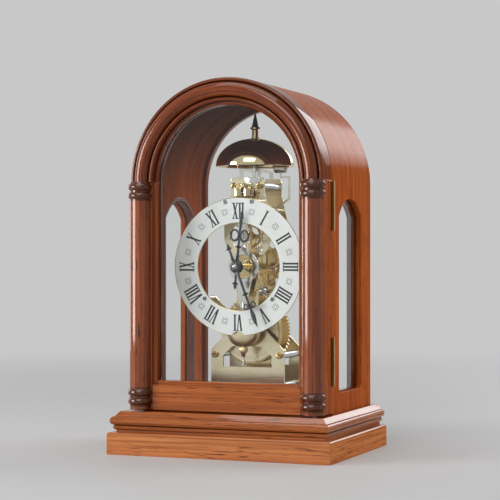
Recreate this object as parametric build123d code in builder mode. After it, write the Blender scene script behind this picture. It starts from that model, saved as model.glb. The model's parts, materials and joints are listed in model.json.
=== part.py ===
from build123d import *

import os
from math import acos, asin, atan2, cos, degrees, pi, radians, sin, sqrt

# Mantel clock with an arched case, a glazed front door and a skeleton movement that strikes a bell.
# Millimetres. The origin is the middle of the base's underside, +X is the viewer's right,
# +Y is the back and +Z is up.

# Clearances
running_gap = 0.05
passing_gap = 0.3
tooth_gap = 0.25
glass_play = 0.4

# Base
base_w = 204.0
base_d = 157.0
plinth_h = 19.0
plinth_edge = 1.2
moulding_h = 18.0
quirk_inset = 6.5
quirk_h = 2.2
small_bead_inset = 4.4
small_bead_h = 4.0
neck_inset = 5.4
large_bead_inset = 2.1
large_bead_h = 7.6
top_inset = 9.0

# Arched case
shell_r = 88.3
shell_wall = 14.0
shell_d = 107.2
shell_back_inset = 5.0
wall_h = 198.3
lip_w = 3.0
lip_d = 6.5

# Side windows
window_w = 62.0
window_h = 167.0
window_rise = 16.0
window_corner_r = 5.0
window_setback = 18.7
sill_h = 17.0
pane_t = 2.0
pane_setback = 5.0
rebate_w = 3.5

# Front door
door_gap = 0.4
door_lift = 1.0
door_t = 22.9
stile_w = 19.9
rail_h = 22.0
stop_w = 3.1
stop_t = 5.0
door_glass_t = 2.0
door_glass_setback = 11.9
door_bead_t = 3.0
arch_roll_r = 6.2
arch_roll_inset = 9.9
arch_bead_r = 1.7
roll_steps = 4
bead_steps = 2

# Half round columns on the door
column_r = 9.15
column_inset = 8.8
ring_r = 3.6
ring_proud = 1.9
ring_steps = 3
ring_pitch = 7.6
foot_ring_h = 7.3
cap_ring_drop = 4.4

# Door hinges
hinge_l = 41.5
hinge_low_h = 44.6
hinge_high_h = 176.3
leaf_w = 9.0
leaf_t = 0.9
knuckle_r = 1.75
hinge_pin_r = 0.9

# Movement frame
dial_h = 124.8
seat_h = 12.0
seat_w = 84.0
seat_d = 66.0
plate_setback = 27.7
plate_t = 2.0
pillar_l = 41.0
pillar_r = 3.0
foot_half = 34.5
foot_h = 39.5
bar_half = 10.0
head_r = 22.0
head_hole_r = 15.0
head_bar_half = 3.5
crown_half = 16.0
crown_rise = 78.7
crown_corner_r = 4.0
hip_rise = 38.2
neck_rise = 64.2
plate_window_half = 23.0
plate_window_h = 24.4
plate_window_side = 9.6
plate_window_cut = 8.5
low_pillar_x = 29.0
low_pillar_h = 8.0
mid_pillar_x = 30.5
mid_pillar_h = 35.0
top_pillar_x = 12.0
top_pillar_drop = 7.5

# Dial
dial_r = 60.0
dial_hole_r = 38.4
dial_t = 1.5
dial_standoff = 20.0
notch_r = 6.4
notch_drop = 62.4
post_r = 2.3
top_post_x = 12.5
top_post_rise = 56.4
low_post_x = 31.6
low_post_drop = 27.9
bracket_t = 1.5
bracket_w = 5.0
bracket_sag = 16.9

# Wheel train: teeth and modules
great_teeth = 64
second_leaves = 8
great_module = 1.0
second_teeth = 48
centre_leaves = 8
second_module = 0.8125
centre_teeth = 72
third_leaves = 6
centre_module = 0.5
third_teeth = 72
escape_leaves = 6
third_module = 0.45
cannon_leaves = 10
minute_teeth = 30
minute_leaves = 8
hour_teeth = 32
motion_module = 0.75
second_lean = 15.0
third_lean = 40.0
addendum = 0.8
dedendum = 1.1
tooth_root_share = 0.75
leaf_addendum = 0.6
leaf_dedendum = 1.15
leaf_tip_share = 0.24
leaf_root_share = 0.4
wheel_t = 1.5
leaf_overlap = 1.0
arbor_r = 1.4
slim_arbor_r = 0.8
pivot_r = 0.6
hub_r = 3.2
spokes = 4
spoke_w = 2.4
rim_w = 2.2

# Depth of each wheel behind the front plate
drum_setback = 6.0
second_wheel_setback = 26.0
centre_wheel_setback = 32.0
third_wheel_setback = 14.0
escape_wheel_setback = 6.0

# Barrel and winding
drum_r = 28.0
drum_l = 13.0
great_t = 2.5
winding_r = 3.0
ratchet_teeth = 20
ratchet_r = 11.0
ratchet_depth = 2.0
ratchet_t = 2.0
ratchet_standoff = 1.0
square_w = 4.2
square_l = 14.0
click_face_angle = 42.0
click_nose_h = 3.3
click_pivot_angle = -20.0
click_pivot_reach = 19.0
click_lift = 8.0
click_stud_r = 1.5
click_head_r = 3.2

# Escapement
escape_teeth = 36
escape_r = 13.0
tooth_depth = 2.4
escape_back_share = 0.3
escape_front_share = 0.2
pallet_span = 5.5
pallet_w = 0.9
pallet_l = 5.0
anchor_arm_w = 2.2
anchor_t = 2.5
anchor_hub_r = 3.0
crutch_t = 1.0
crutch_w = 2.2
crutch_l = 29.7
crutch_pin_r = 0.7
crutch_setback = 4.0

# Pendulum
swing_rise = 60.2
pendulum_setback = 8.5
rod_w = 5.0
rod_t = 1.0
spring_l = 9.0
suspension_t = 0.3
suspension_w = 5.0
end_block_w = 6.0
end_block_h = 6.0
pendulum_ring_r = 14.0
pendulum_ring_hole_r = 10.5
thread_r = 1.05
rod_end_drop = 86.0
neck_drop = 36.5
bob_r = 15.6
bob_drop = 55.0
bob_swell = 7.6
bob_rim_t = 3.6
bob_steps = 3
nut_r = 3.8
nut_h = 4.8
nut_tail_r = 2.2
nut_tail_h = 3.6
cock_w = 15.0
cock_h = 14.0
cock_gap = 0.1

# Hands and motion work
cannon_setback = 1.4
cannon_t = 2.0
cannon_pipe_r = 2.0
hour_pipe_r = 3.0
hour_wheel_setback = 4.4
hour_hand_standoff = 2.7
minute_hand_standoff = 5.7
hand_t = 1.2
hand_hub_r = 6.0
hour_hand_l = 49.0
hour_tail_l = 19.8
hour_loop_at = 27.0
hour_loop_r = 4.2
hour_angle = 5.5
minute_hand_l = 56.0
minute_tail_l = 21.6
minute_loop_at = 35.5
minute_loop_r = 3.4
minute_angle = 158.5
hand_w = 1.6
loop_w = 1.3
leaf_half = 2.2
cross_l = 5.0
hand_nut_r = 3.0
hand_nut_t = 2.8

# Bell and hammer
bell_y = 13.0
bell_r = 35.0
bell_h = 24.7
bell_wall = 1.5
bell_rim_rise = 10.8
bell_steps = 3
bell_seat_r = 5.0
strap_t = 2.0
strap_half = 7.6
strap_rise = 5.5
leg_x = 6.0
leg_w = 3.2
bell_post_r = 2.75
finial_collar_r = 4.4
finial_collar_t = 2.4
finial_r = 2.8
finial_body_h = 10.0
finial_cone_r = 3.1
finial_cone_h = 12.0
hammer_x = 15.0
hammer_rise = 50.2
hammer_y = 22.0
hammer_head_r = 4.0
hammer_head_l = 12.0
hammer_head_x = 21.0
hammer_head_drop = 2.3
hammer_arm_w = 1.8
hammer_arm_t = 1.4
hammer_bow_x = 29.0
hammer_bow_rise = 10.0
hammer_neck = 3.6
hammer_bite = 2.0

# Heights and depths that follow from the sizes above
base_top = plinth_h + moulding_h
spring_z = base_top + wall_h
dial_z = base_top + dial_h
shell_in = shell_r - shell_wall
shell_back = base_d / 2 - shell_back_inset
shell_front = shell_back - shell_d
door_back = shell_front - door_gap
door_front = door_back - door_t
door_low = base_top + door_lift
door_in = shell_r - stile_w
rail_top = door_low + rail_h
glass_back = door_back - door_glass_setback
glass_front = glass_back - door_glass_t
column_x = shell_r - column_inset
seat_top = base_top + seat_h
plate_a = shell_front + plate_setback
plate_b = plate_a + plate_t
plate_c = plate_b + pillar_l
plate_d = plate_c + plate_t
dial_back = plate_a - dial_standoff
dial_front = dial_back - dial_t
shoulder_z = seat_top + foot_h
crown_z = dial_z + crown_rise


upward = (Align.CENTER, Align.CENTER, Align.MIN)


def upright(x, y, z):
    """Plane that faces the viewer, with its own x to the right and its own y up."""
    return Plane(origin=(x, y, z), x_dir=(1, 0, 0), z_dir=(0, -1, 0))


def turned(at, y, turn):
    """Upright plane at a point, turned a number of degrees clockwise as the viewer sees it."""
    return Plane(
        origin=(at[0], y, at[1]),
        x_dir=(cos(radians(turn)), 0, -sin(radians(turn))),
        z_dir=(0, -1, 0),
    )


def bar(x, z, y_front, y_back, radius, mode=Mode.ADD):
    """Round bar that runs from front to back."""
    with Locations((x, (y_front + y_back) / 2, z)):
        Cylinder(radius, y_back - y_front, rotation=(90, 0, 0), mode=mode)


def slab(x_low, x_high, y_low, y_high, z_low, z_high, mode=Mode.ADD):
    """Rectangular block between its low and high corners."""
    with Locations(((x_low + x_high) / 2, (y_low + y_high) / 2, (z_low + z_high) / 2)):
        Box(x_high - x_low, y_high - y_low, z_high - z_low, mode=mode)


def arch(half, low, mode=Mode.ADD):
    """Sketch of an upright with straight sides and a half round top."""
    with Locations((0, (low + spring_z) / 2)):
        Rectangle(2 * half, spring_z - low, mode=mode)
    with Locations((0, spring_z)):
        Circle(half, mode=mode)


def polar(radius, angle):
    """Point at an angle in degrees, anticlockwise from the right."""
    return (radius * cos(radians(angle)), radius * sin(radians(angle)))


def towards(start, end):
    """Angle in degrees of the line from one point to another."""
    return degrees(atan2(end[1] - start[1], end[0] - start[0]))


def pitch_radius(teeth, module):
    """Radius at which a wheel rolls on its neighbour."""
    return teeth * module / 2


def wheel_teeth(teeth, module, phase):
    """Outline of a brass wheel with pointed teeth, one of them at the phase angle."""
    rolling = pitch_radius(teeth, module)
    half = tooth_root_share * 180 / teeth
    return [
        polar(radius, phase + tooth * 360 / teeth + turn)
        for tooth in range(teeth)
        for radius, turn in (
            (rolling - dedendum * module, -half),
            (rolling + addendum * module, 0),
            (rolling - dedendum * module, half),
        )
    ]


def pinion_leaves(leaves, module, phase):
    """Outline of a steel pinion with blunt leaves, one of them at the phase angle."""
    rolling = pitch_radius(leaves, module)
    tip = rolling + leaf_addendum * module
    root = rolling - leaf_dedendum * module
    tip_half = leaf_tip_share * 180 / leaves
    root_half = leaf_root_share * 180 / leaves
    return [
        polar(radius, phase + leaf * 360 / leaves + turn)
        for leaf in range(leaves)
        for radius, turn in (
            (root, -root_half),
            (tip, -tip_half),
            (tip, tip_half),
            (root, root_half),
        )
    ]


def spoke_window(root, turn):
    """Outline of the opening between two spokes of a wheel with that root radius."""
    outer = root - rim_w
    inner = hub_r + rim_w / 2
    middle = turn + 180 / spokes
    outer_half = 180 / spokes - degrees(asin(spoke_w / 2 / outer))
    inner_half = 180 / spokes - degrees(asin(spoke_w / 2 / inner))
    return [
        polar(inner, middle - inner_half),
        polar(outer, middle - outer_half),
        polar(outer, middle),
        polar(outer, middle + outer_half),
        polar(inner, middle + inner_half),
    ]


def rounded(middle_x, middle_y, radius, start, sweep, steps):
    """Points round part of a circle, from the start angle on."""
    turns = [start + sweep * step / steps for step in range(steps + 1)]
    return [
        (middle_x + x, middle_y + y) for x, y in (polar(radius, turn) for turn in turns)
    ]


# Arbor places, each found from the one before by the distance at which their wheels mesh
centre_at = (0, dial_z)
second_reach = pitch_radius(second_teeth + centre_leaves, second_module)
great_reach = pitch_radius(great_teeth + second_leaves, great_module)
second_at = (
    second_reach * sin(radians(second_lean)),
    dial_z - second_reach * cos(radians(second_lean)),
)
barrel_at = (0, second_at[1] - sqrt(great_reach**2 - second_at[0] ** 2))
third_reach = pitch_radius(centre_teeth + third_leaves, centre_module)
escape_reach = pitch_radius(third_teeth + escape_leaves, third_module)
third_at = (
    third_reach * sin(radians(third_lean)),
    dial_z + third_reach * cos(radians(third_lean)),
)
escape_at = (0, third_at[1] + sqrt(escape_reach**2 - third_at[0] ** 2))
pallet_angle = pallet_span * 360 / escape_teeth
anchor_at = (0, escape_at[1] + escape_r / cos(radians(pallet_angle)))
minute_at = (0, dial_z - pitch_radius(cannon_leaves + minute_teeth, motion_module))
hammer_at = (hammer_x, dial_z + hammer_rise)
swing_z = dial_z + swing_rise
pendulum_y = plate_a - pendulum_setback - rod_t / 2
crutch_z = anchor_at[1] - crutch_l
bell_rim_z = crown_z + bell_rim_rise
bell_top_z = bell_rim_z + bell_h


# Base: plinth and the moulded block on it
with BuildPart() as plinth:
    slab(-base_w / 2, base_w / 2, -base_d / 2, base_d / 2, 0, plinth_h)
    chamfer(plinth.edges().group_by(Axis.Z)[-1], plinth_edge)


def moulded_edge(outer, side):
    """Edge of the base from the plinth up: quirk, two beads and a cove."""
    quirk_top = plinth_h + quirk_h
    bead_top = quirk_top + small_bead_h
    roll_top = bead_top + large_bead_h
    quirk_x = side * (outer - quirk_inset)
    neck_x = side * (outer - neck_inset)
    crest_x = side * (outer - top_inset)
    Line((quirk_x, plinth_h), (quirk_x, quirk_top))
    ThreePointArc(
        (quirk_x, quirk_top),
        (side * (outer - small_bead_inset), quirk_top + small_bead_h / 2),
        (neck_x, bead_top),
    )
    ThreePointArc(
        (neck_x, bead_top),
        (side * (outer - large_bead_inset), bead_top + large_bead_h / 2),
        (neck_x, roll_top),
    )
    Line((neck_x, roll_top), (crest_x, base_top))
    return quirk_x, crest_x


with BuildPart() as base_moulding:
    with BuildSketch(Plane.XZ):
        with BuildLine():
            left_low, left_high = moulded_edge(base_w / 2, -1)
            right_low, right_high = moulded_edge(base_w / 2, 1)
            Line((left_low, plinth_h), (right_low, plinth_h))
            Line((left_high, base_top), (right_high, base_top))
        make_face()
    extrude(amount=base_d / 2, both=True)
    with BuildSketch(Plane.YZ):
        with BuildLine():
            front_low, front_high = moulded_edge(base_d / 2, -1)
            Polyline(
                (front_low, plinth_h),
                (-base_d / 2, plinth_h),
                (-base_d / 2, base_top),
                (front_high, base_top),
            )
        make_face()
    extrude(amount=base_w / 2, both=True, mode=Mode.SUBTRACT)


# Case: one bent shell, windows cut through both walls, an arched lip at the back
window_y = shell_front + window_setback + window_w / 2
sill_z = base_top + sill_h


def window_edges(grow):
    """Outline of a side window, or of its rebate when grown."""
    low = sill_z - grow
    left = window_y - window_w / 2 - grow
    right = window_y + window_w / 2 + grow
    haunch = sill_z + window_h - window_rise
    Polyline((left, haunch), (left, low), (right, low), (right, haunch))
    ThreePointArc((right, haunch), (window_y, sill_z + window_h + grow), (left, haunch))


pane_out = shell_r - pane_setback
pane_in = pane_out - pane_t

with BuildPart() as case_shell:
    with BuildSketch(upright(0, shell_back, 0)):
        arch(shell_r, base_top)
        arch(shell_in, base_top, Mode.SUBTRACT)
    extrude(amount=shell_d)
    with BuildSketch(Plane.YZ) as opening:
        with BuildLine():
            window_edges(0)
        make_face()
        fillet(opening.vertices().group_by(Axis.Y)[0], window_corner_r)
    extrude(amount=shell_r, both=True, mode=Mode.SUBTRACT)
    with BuildSketch(Plane.YZ):
        with BuildLine():
            window_edges(rebate_w)
        make_face()
    extrude(amount=pane_out, both=True, mode=Mode.SUBTRACT)
    for height in (hinge_low_h, hinge_high_h):
        hinge_z = base_top + height
        slab(
            shell_r - leaf_w,
            shell_r,
            shell_front,
            shell_front + leaf_t,
            hinge_z - hinge_l / 2,
            hinge_z + hinge_l / 2,
            Mode.SUBTRACT,
        )

with BuildPart() as back_lip:
    with BuildSketch(upright(0, shell_back, 0)):
        arch(shell_in, base_top)
        arch(shell_in - lip_w, base_top, Mode.SUBTRACT)
    extrude(amount=lip_d)


with BuildPart() as side_panes:
    for side in (-1, 1):
        with BuildSketch(Plane.YZ.offset(side * pane_in)):
            with BuildLine():
                window_edges(rebate_w - glass_play)
            make_face()
        extrude(amount=side * pane_t)

with BuildPart() as side_beads:
    for side in (-1, 1):
        with BuildSketch(Plane.YZ.offset(side * shell_in)):
            with BuildLine():
                window_edges(rebate_w)
            make_face()
        extrude(amount=side * (pane_in - shell_in))
        with BuildSketch(Plane.YZ.offset(side * shell_in)):
            with BuildLine():
                window_edges(0)
            make_face()
        extrude(amount=side * (pane_in - shell_in), mode=Mode.SUBTRACT)

with BuildPart() as movement_seat:
    seat_y = (plate_a + plate_d) / 2
    slab(
        -seat_w / 2,
        seat_w / 2,
        seat_y - seat_d / 2,
        seat_y + seat_d / 2,
        base_top,
        seat_top,
    )


# Door: two stiles, a rail and an arch, with half round columns on the stiles
stop_front = glass_front - stop_t


def door_stile(side):
    """Upright of the door, with the stop that the glass lies against."""
    with BuildPart() as stile:
        with BuildSketch(Plane.XY.offset(door_low)):
            with Locations((side * (shell_r - stile_w / 2), (door_front + door_back) / 2)):
                Rectangle(stile_w, door_t)
        extrude(amount=spring_z - door_low)
        with BuildSketch(Plane.XY.offset(rail_top)):
            with Locations((side * (door_in - stop_w / 2), (stop_front + glass_front) / 2)):
                Rectangle(stop_w, stop_t)
        extrude(amount=spring_z - rail_top)
        if side > 0:
            for height in (hinge_low_h, hinge_high_h):
                slab(
                    shell_r - leaf_w,
                    shell_r,
                    door_back - leaf_t,
                    door_back,
                    base_top + height - hinge_l / 2,
                    base_top + height + hinge_l / 2,
                    Mode.SUBTRACT,
                )
    return stile


door_stile_left = door_stile(-1)
door_stile_right = door_stile(1)

with BuildPart() as door_rail:
    with BuildSketch(Plane.YZ):
        with Locations(((door_front + door_back) / 2, (door_low + rail_top) / 2)):
            Rectangle(door_t, rail_h)
    extrude(amount=door_in, both=True)
    with BuildSketch(Plane.YZ):
        with Locations(((stop_front + glass_front) / 2, rail_top + stop_w / 2)):
            Rectangle(stop_t, stop_w)
    extrude(amount=door_in - stop_w, both=True)

with BuildPart() as door_arch:
    with BuildSketch(Plane.XY.offset(spring_z)):
        Polygon(
            (shell_r, door_back),
            *rounded(shell_r - arch_bead_r, door_front, arch_bead_r, 0, -180, bead_steps),
            *rounded(shell_r - arch_roll_inset, door_front, arch_roll_r, 0, -180, roll_steps),
            *rounded(door_in + arch_bead_r, door_front, arch_bead_r, 0, -180, bead_steps),
            (door_in, stop_front),
            (door_in - stop_w, stop_front),
            (door_in - stop_w, glass_front),
            (door_in, glass_front),
            (door_in, door_back),
        )
    revolve(axis=Axis((0, 0, spring_z), (0, -1, 0)), revolution_arc=180)


ring_places = (
    door_low + foot_ring_h,
    door_low + foot_ring_h + ring_pitch,
    spring_z - cap_ring_drop - ring_pitch,
    spring_z - cap_ring_drop,
)

with BuildPart() as columns:
    ring_x = column_r + ring_proud - ring_r
    ring_half = degrees(acos((column_r - ring_x) / ring_r))
    for side in (-1, 1):
        with BuildSketch(upright(side * column_x, door_front, 0)):
            Polygon(
                (0, spring_z),
                (0, door_low),
                (column_r, door_low),
                *[
                    point
                    for z in ring_places
                    for point in rounded(
                        ring_x, z, ring_r, -ring_half, 2 * ring_half, ring_steps
                    )
                ],
                (column_r, spring_z),
            )
        revolve(axis=Axis((side * column_x, door_front, 0), (0, 0, -1)), revolution_arc=180)

with BuildPart() as door_glass:
    with BuildSketch(upright(0, glass_back, 0)):
        arch(door_in - glass_play, rail_top + glass_play)
    extrude(amount=door_glass_t)

with BuildPart() as door_bead:
    with BuildSketch(upright(0, glass_back + door_bead_t, 0)):
        arch(door_in - glass_play, rail_top + glass_play)
        arch(door_in - stop_w, rail_top + stop_w, Mode.SUBTRACT)
    extrude(amount=door_bead_t)


# Hinges: case leaf with the outer knuckles and the pin, door leaf with the middle knuckle
hinge_x = shell_r + knuckle_r + passing_gap / 2
hinge_y = (shell_front + door_back) / 2
knuckle_l = hinge_l / 3 - passing_gap


with BuildPart() as hinge_leaves_case:
    for height in (hinge_low_h, hinge_high_h):
        middle = base_top + height
        slab(
            shell_r - leaf_w,
            shell_r,
            shell_front,
            shell_front + leaf_t,
            middle - hinge_l / 2,
            middle + hinge_l / 2,
        )
        for end in (-1, 1):
            knuckle_z = middle + end * hinge_l / 3
            slab(
                shell_r,
                hinge_x,
                shell_front,
                shell_front + leaf_t,
                knuckle_z - knuckle_l / 2,
                knuckle_z + knuckle_l / 2,
            )
            with Locations((hinge_x, hinge_y, knuckle_z)):
                Cylinder(knuckle_r, knuckle_l)
        with Locations((hinge_x, hinge_y, middle)):
            Cylinder(hinge_pin_r, hinge_l / 2)

with BuildPart() as hinge_leaves_door:
    for height in (hinge_low_h, hinge_high_h):
        middle = base_top + height
        slab(
            shell_r - leaf_w,
            shell_r,
            door_back - leaf_t,
            door_back,
            middle - hinge_l / 2,
            middle + hinge_l / 2,
        )
        slab(
            shell_r,
            hinge_x,
            door_back - leaf_t,
            door_back,
            middle - knuckle_l / 2,
            middle + knuckle_l / 2,
        )
        with Locations((hinge_x, hinge_y, middle)):
            Cylinder(knuckle_r, knuckle_l)
            Cylinder(hinge_pin_r + running_gap, knuckle_l, mode=Mode.SUBTRACT)


# Movement plates, skeletonised, with the pillars between them
pillar_places = [
    (side * x, z)
    for x, z in (
        (low_pillar_x, seat_top + low_pillar_h),
        (mid_pillar_x, seat_top + mid_pillar_h),
        (top_pillar_x, crown_z - top_pillar_drop),
    )
    for side in (-1, 1)
]
top_posts = [(side * top_post_x, dial_z + top_post_rise) for side in (-1, 1)]
low_posts = [(side * low_post_x, dial_z - low_post_drop) for side in (-1, 1)]
window_low = seat_top + plate_window_h
window_hip = window_low + plate_window_side
window_top = window_hip + plate_window_cut
hip_z = dial_z + hip_rise
neck_z = dial_z + neck_rise
bar_low = shoulder_z + foot_half - bar_half
window_top_half = plate_window_half - plate_window_cut


def movement_plate(y_front, extra_holes):
    """Skeleton plate: broad foot, narrow bar, round head and crown."""
    pivots = (second_at, third_at, escape_at, hammer_at)
    with BuildPart() as plate:
        with BuildSketch(upright(0, y_front + plate_t, 0)) as outline:
            Polygon(
                (-foot_half, seat_top),
                (foot_half, seat_top),
                (foot_half, shoulder_z),
                (bar_half, bar_low),
                (-bar_half, bar_low),
                (-foot_half, shoulder_z),
            )
            with Locations((0, (bar_low + escape_at[1]) / 2)):
                Rectangle(2 * bar_half, escape_at[1] - bar_low)
            with Locations(escape_at):
                Circle(head_r)
            Polygon(
                (-head_r, escape_at[1]),
                (head_r, escape_at[1]),
                (head_r, hip_z),
                (crown_half, neck_z),
                (crown_half, crown_z),
                (-crown_half, crown_z),
                (-crown_half, neck_z),
                (-head_r, hip_z),
            )
            fillet(outline.vertices().group_by(Axis.Y)[-1], crown_corner_r)
            with Locations(escape_at):
                Circle(head_hole_r, mode=Mode.SUBTRACT)
                Rectangle(2 * head_bar_half, 2 * head_hole_r + head_bar_half)
            Polygon(
                (-plate_window_half, window_low),
                (plate_window_half, window_low),
                (plate_window_half, window_hip),
                (window_top_half, window_top),
                (-window_top_half, window_top),
                (-plate_window_half, window_hip),
                mode=Mode.SUBTRACT,
            )
            with Locations(*pivots):
                Circle(pivot_r + running_gap, mode=Mode.SUBTRACT)
            with Locations(barrel_at):
                Circle(winding_r + running_gap, mode=Mode.SUBTRACT)
            for place, radius in extra_holes:
                with Locations(place):
                    Circle(radius, mode=Mode.SUBTRACT)
        extrude(amount=plate_t)
    return plate


front_holes = [
    (centre_at, arbor_r + running_gap),
    (anchor_at, arbor_r + running_gap),
    (minute_at, arbor_r),
]
front_plate = movement_plate(plate_a, front_holes)
back_plate = movement_plate(
    plate_c,
    [(centre_at, pivot_r + running_gap), (anchor_at, pivot_r + running_gap)],
)

with BuildPart() as pillars:
    for x, z in pillar_places:
        bar(x, z, plate_b, plate_c, pillar_r)


# Dial: bracket and posts on the front plate, and the chapter ring
bracket_r = (low_post_x**2 + bracket_sag**2) / (2 * bracket_sag)
bracket_z = dial_z - low_post_drop - bracket_sag + bracket_r
low_post_turn = degrees(asin(low_post_x / bracket_r))

with BuildPart() as dial_bracket:
    with BuildSketch(upright(0, plate_a, bracket_z)):
        with BuildLine():
            outer_arc = CenterArc(
                (0, 0), bracket_r + bracket_w / 2, 270 - low_post_turn, 2 * low_post_turn
            )
            inner_arc = CenterArc(
                (0, 0), bracket_r - bracket_w / 2, 270 - low_post_turn, 2 * low_post_turn
            )
            Line(outer_arc @ 0, inner_arc @ 0)
            Line(outer_arc @ 1, inner_arc @ 1)
        make_face()
        with Locations(*[(x, z - bracket_z) for x, z in low_posts]):
            Circle(bracket_w / 2)
    extrude(amount=bracket_t)

with BuildPart() as dial_posts:
    for x, z in top_posts:
        bar(x, z, dial_back, plate_a, post_r)
    for x, z in low_posts:
        bar(x, z, dial_back, plate_a - bracket_t, post_r)

with BuildPart() as chapter_ring:
    with BuildSketch(upright(0, dial_back, dial_z)):
        Circle(dial_r)
        Circle(dial_hole_r, mode=Mode.SUBTRACT)
        with Locations((0, -notch_drop)):
            Circle(notch_r, mode=Mode.SUBTRACT)
    extrude(amount=dial_t)


# Barrel with the great wheel, and the arbor that winds it
drum_front = plate_b + drum_setback
drum_back = drum_front + drum_l
great_back = drum_back + great_t

with BuildPart() as barrel:
    with BuildSketch(upright(barrel_at[0], great_back, barrel_at[1])):
        Polygon(*wheel_teeth(great_teeth, great_module, towards(barrel_at, second_at)))
    extrude(amount=great_t)
    bar(*barrel_at, drum_front, drum_back, drum_r)
    bar(*barrel_at, drum_front, great_back, winding_r + running_gap, Mode.SUBTRACT)

ratchet_front = plate_d + ratchet_standoff
ratchet_back = ratchet_front + ratchet_t
ratchet_pitch = 360 / ratchet_teeth

with BuildPart() as winding_arbor:
    bar(*barrel_at, plate_a, ratchet_front, winding_r)
    with BuildSketch(upright(barrel_at[0], ratchet_back + square_l, barrel_at[1])):
        Rectangle(square_w, square_w)
    extrude(amount=ratchet_t + square_l)

with BuildPart() as ratchet_wheel:
    with BuildSketch(upright(barrel_at[0], ratchet_back, barrel_at[1])):
        Polygon(
            *[
                polar(radius, click_face_angle + ratchet_pitch * tooth)
                for tooth in range(ratchet_teeth)
                for radius in (ratchet_r - ratchet_depth, ratchet_r)
            ]
        )
        Rectangle(square_w, square_w, mode=Mode.SUBTRACT)
    extrude(amount=ratchet_t)


# Click on its stud behind the back plate, drawn where its beak is down against a ratchet tooth
# and stored lifted, so that the ratchet turns freely under it
click_hub = polar(click_pivot_reach, click_pivot_angle)
click_at = (barrel_at[0] + click_hub[0], barrel_at[1] + click_hub[1])
beak_low = ratchet_r - ratchet_depth + passing_gap
beak_turn = click_face_angle - degrees(passing_gap / ratchet_r)
beak_tip = polar(beak_low, beak_turn)
beak_heel = polar(ratchet_r + passing_gap, beak_turn - ratchet_pitch)
beak_top = polar(beak_low + click_nose_h, beak_turn)
hub_side = polar(click_head_r, towards(click_hub, beak_tip) + 90)


def from_click_hub(point):
    """Point of the click's outline, counted from its pivot."""
    return (point[0] - click_hub[0], point[1] - click_hub[1])


with BuildPart() as click:
    with BuildSketch(turned(click_at, ratchet_back, click_lift)):
        Polygon(
            from_click_hub(beak_tip),
            from_click_hub(beak_heel),
            hub_side,
            (-hub_side[0], -hub_side[1]),
            from_click_hub(beak_top),
        )
        Circle(click_head_r)
        Circle(click_stud_r + running_gap, mode=Mode.SUBTRACT)
    extrude(amount=ratchet_t)


# Arbors with their pinions, and the wheels on them
def pinion_arbor(at, radius, pinion, pinion_front, pinion_l):
    """Steel arbor that runs in both plates, cut with a pinion."""
    with BuildPart() as arbor:
        bar(*at, plate_b + passing_gap, plate_c - passing_gap, radius)
        bar(*at, plate_a, plate_b + passing_gap, pivot_r)
        bar(*at, plate_c - passing_gap, plate_d, pivot_r)
        with BuildSketch(upright(at[0], pinion_front + pinion_l, at[1])):
            Polygon(*pinion)
        extrude(amount=pinion_l)
    return arbor


def spoked_wheel(at, bore, teeth, module, phase, y_front):
    """Brass wheel with a rim, spokes and a hub, bored for its arbor."""
    root = pitch_radius(teeth, module) - dedendum * module
    with BuildPart() as wheel:
        with BuildSketch(upright(at[0], y_front + wheel_t, at[1])):
            Polygon(*wheel_teeth(teeth, module, phase))
            for spoke in range(spokes):
                Polygon(*spoke_window(root, spoke * 360 / spokes), mode=Mode.SUBTRACT)
            Circle(bore, mode=Mode.SUBTRACT)
        extrude(amount=wheel_t)
    return wheel


pinion_l = wheel_t + 2 * leaf_overlap
second_wheel_front = plate_b + second_wheel_setback
centre_wheel_front = plate_b + centre_wheel_setback
third_wheel_front = plate_b + third_wheel_setback
escape_wheel_front = plate_b + escape_wheel_setback

second_arbor = pinion_arbor(
    second_at,
    arbor_r,
    pinion_leaves(
        second_leaves, great_module, towards(second_at, barrel_at) + 180 / second_leaves
    ),
    drum_back - leaf_overlap,
    great_t + 2 * leaf_overlap,
)
second_wheel = spoked_wheel(
    second_at,
    arbor_r,
    second_teeth,
    second_module,
    towards(second_at, centre_at),
    second_wheel_front,
)
third_arbor = pinion_arbor(
    third_at,
    slim_arbor_r,
    pinion_leaves(
        third_leaves, centre_module, towards(third_at, centre_at) + 180 / third_leaves
    ),
    centre_wheel_front - leaf_overlap,
    pinion_l,
)
third_wheel = spoked_wheel(
    third_at,
    slim_arbor_r,
    third_teeth,
    third_module,
    towards(third_at, escape_at),
    third_wheel_front,
)
escape_arbor = pinion_arbor(
    escape_at,
    slim_arbor_r,
    pinion_leaves(
        escape_leaves, third_module, towards(escape_at, third_at) + 180 / escape_leaves
    ),
    third_wheel_front - leaf_overlap,
    pinion_l,
)

centre_wheel = spoked_wheel(
    centre_at,
    arbor_r,
    centre_teeth,
    centre_module,
    towards(centre_at, third_at),
    centre_wheel_front,
)

with BuildPart() as escape_wheel:
    escape_pitch = 360 / escape_teeth
    escape_root = escape_r - tooth_depth
    with BuildSketch(upright(escape_at[0], escape_wheel_front + wheel_t, escape_at[1])):
        Polygon(
            *[
                polar(radius, 90 + escape_pitch * (tooth + share))
                for tooth in range(escape_teeth)
                for radius, share in (
                    (escape_root, -escape_back_share),
                    (escape_r, 0),
                    (escape_root, escape_front_share),
                )
            ]
        )
        for spoke in range(spokes):
            Polygon(*spoke_window(escape_root, spoke * 360 / spokes), mode=Mode.SUBTRACT)
        Circle(slim_arbor_r, mode=Mode.SUBTRACT)
    extrude(amount=wheel_t)


# Anchor over the escape wheel, with the crutch that the pendulum swings
anchor_front = escape_wheel_front + wheel_t / 2 - anchor_t / 2
crutch_back = plate_a - crutch_setback
crutch_front = crutch_back - crutch_t


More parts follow.
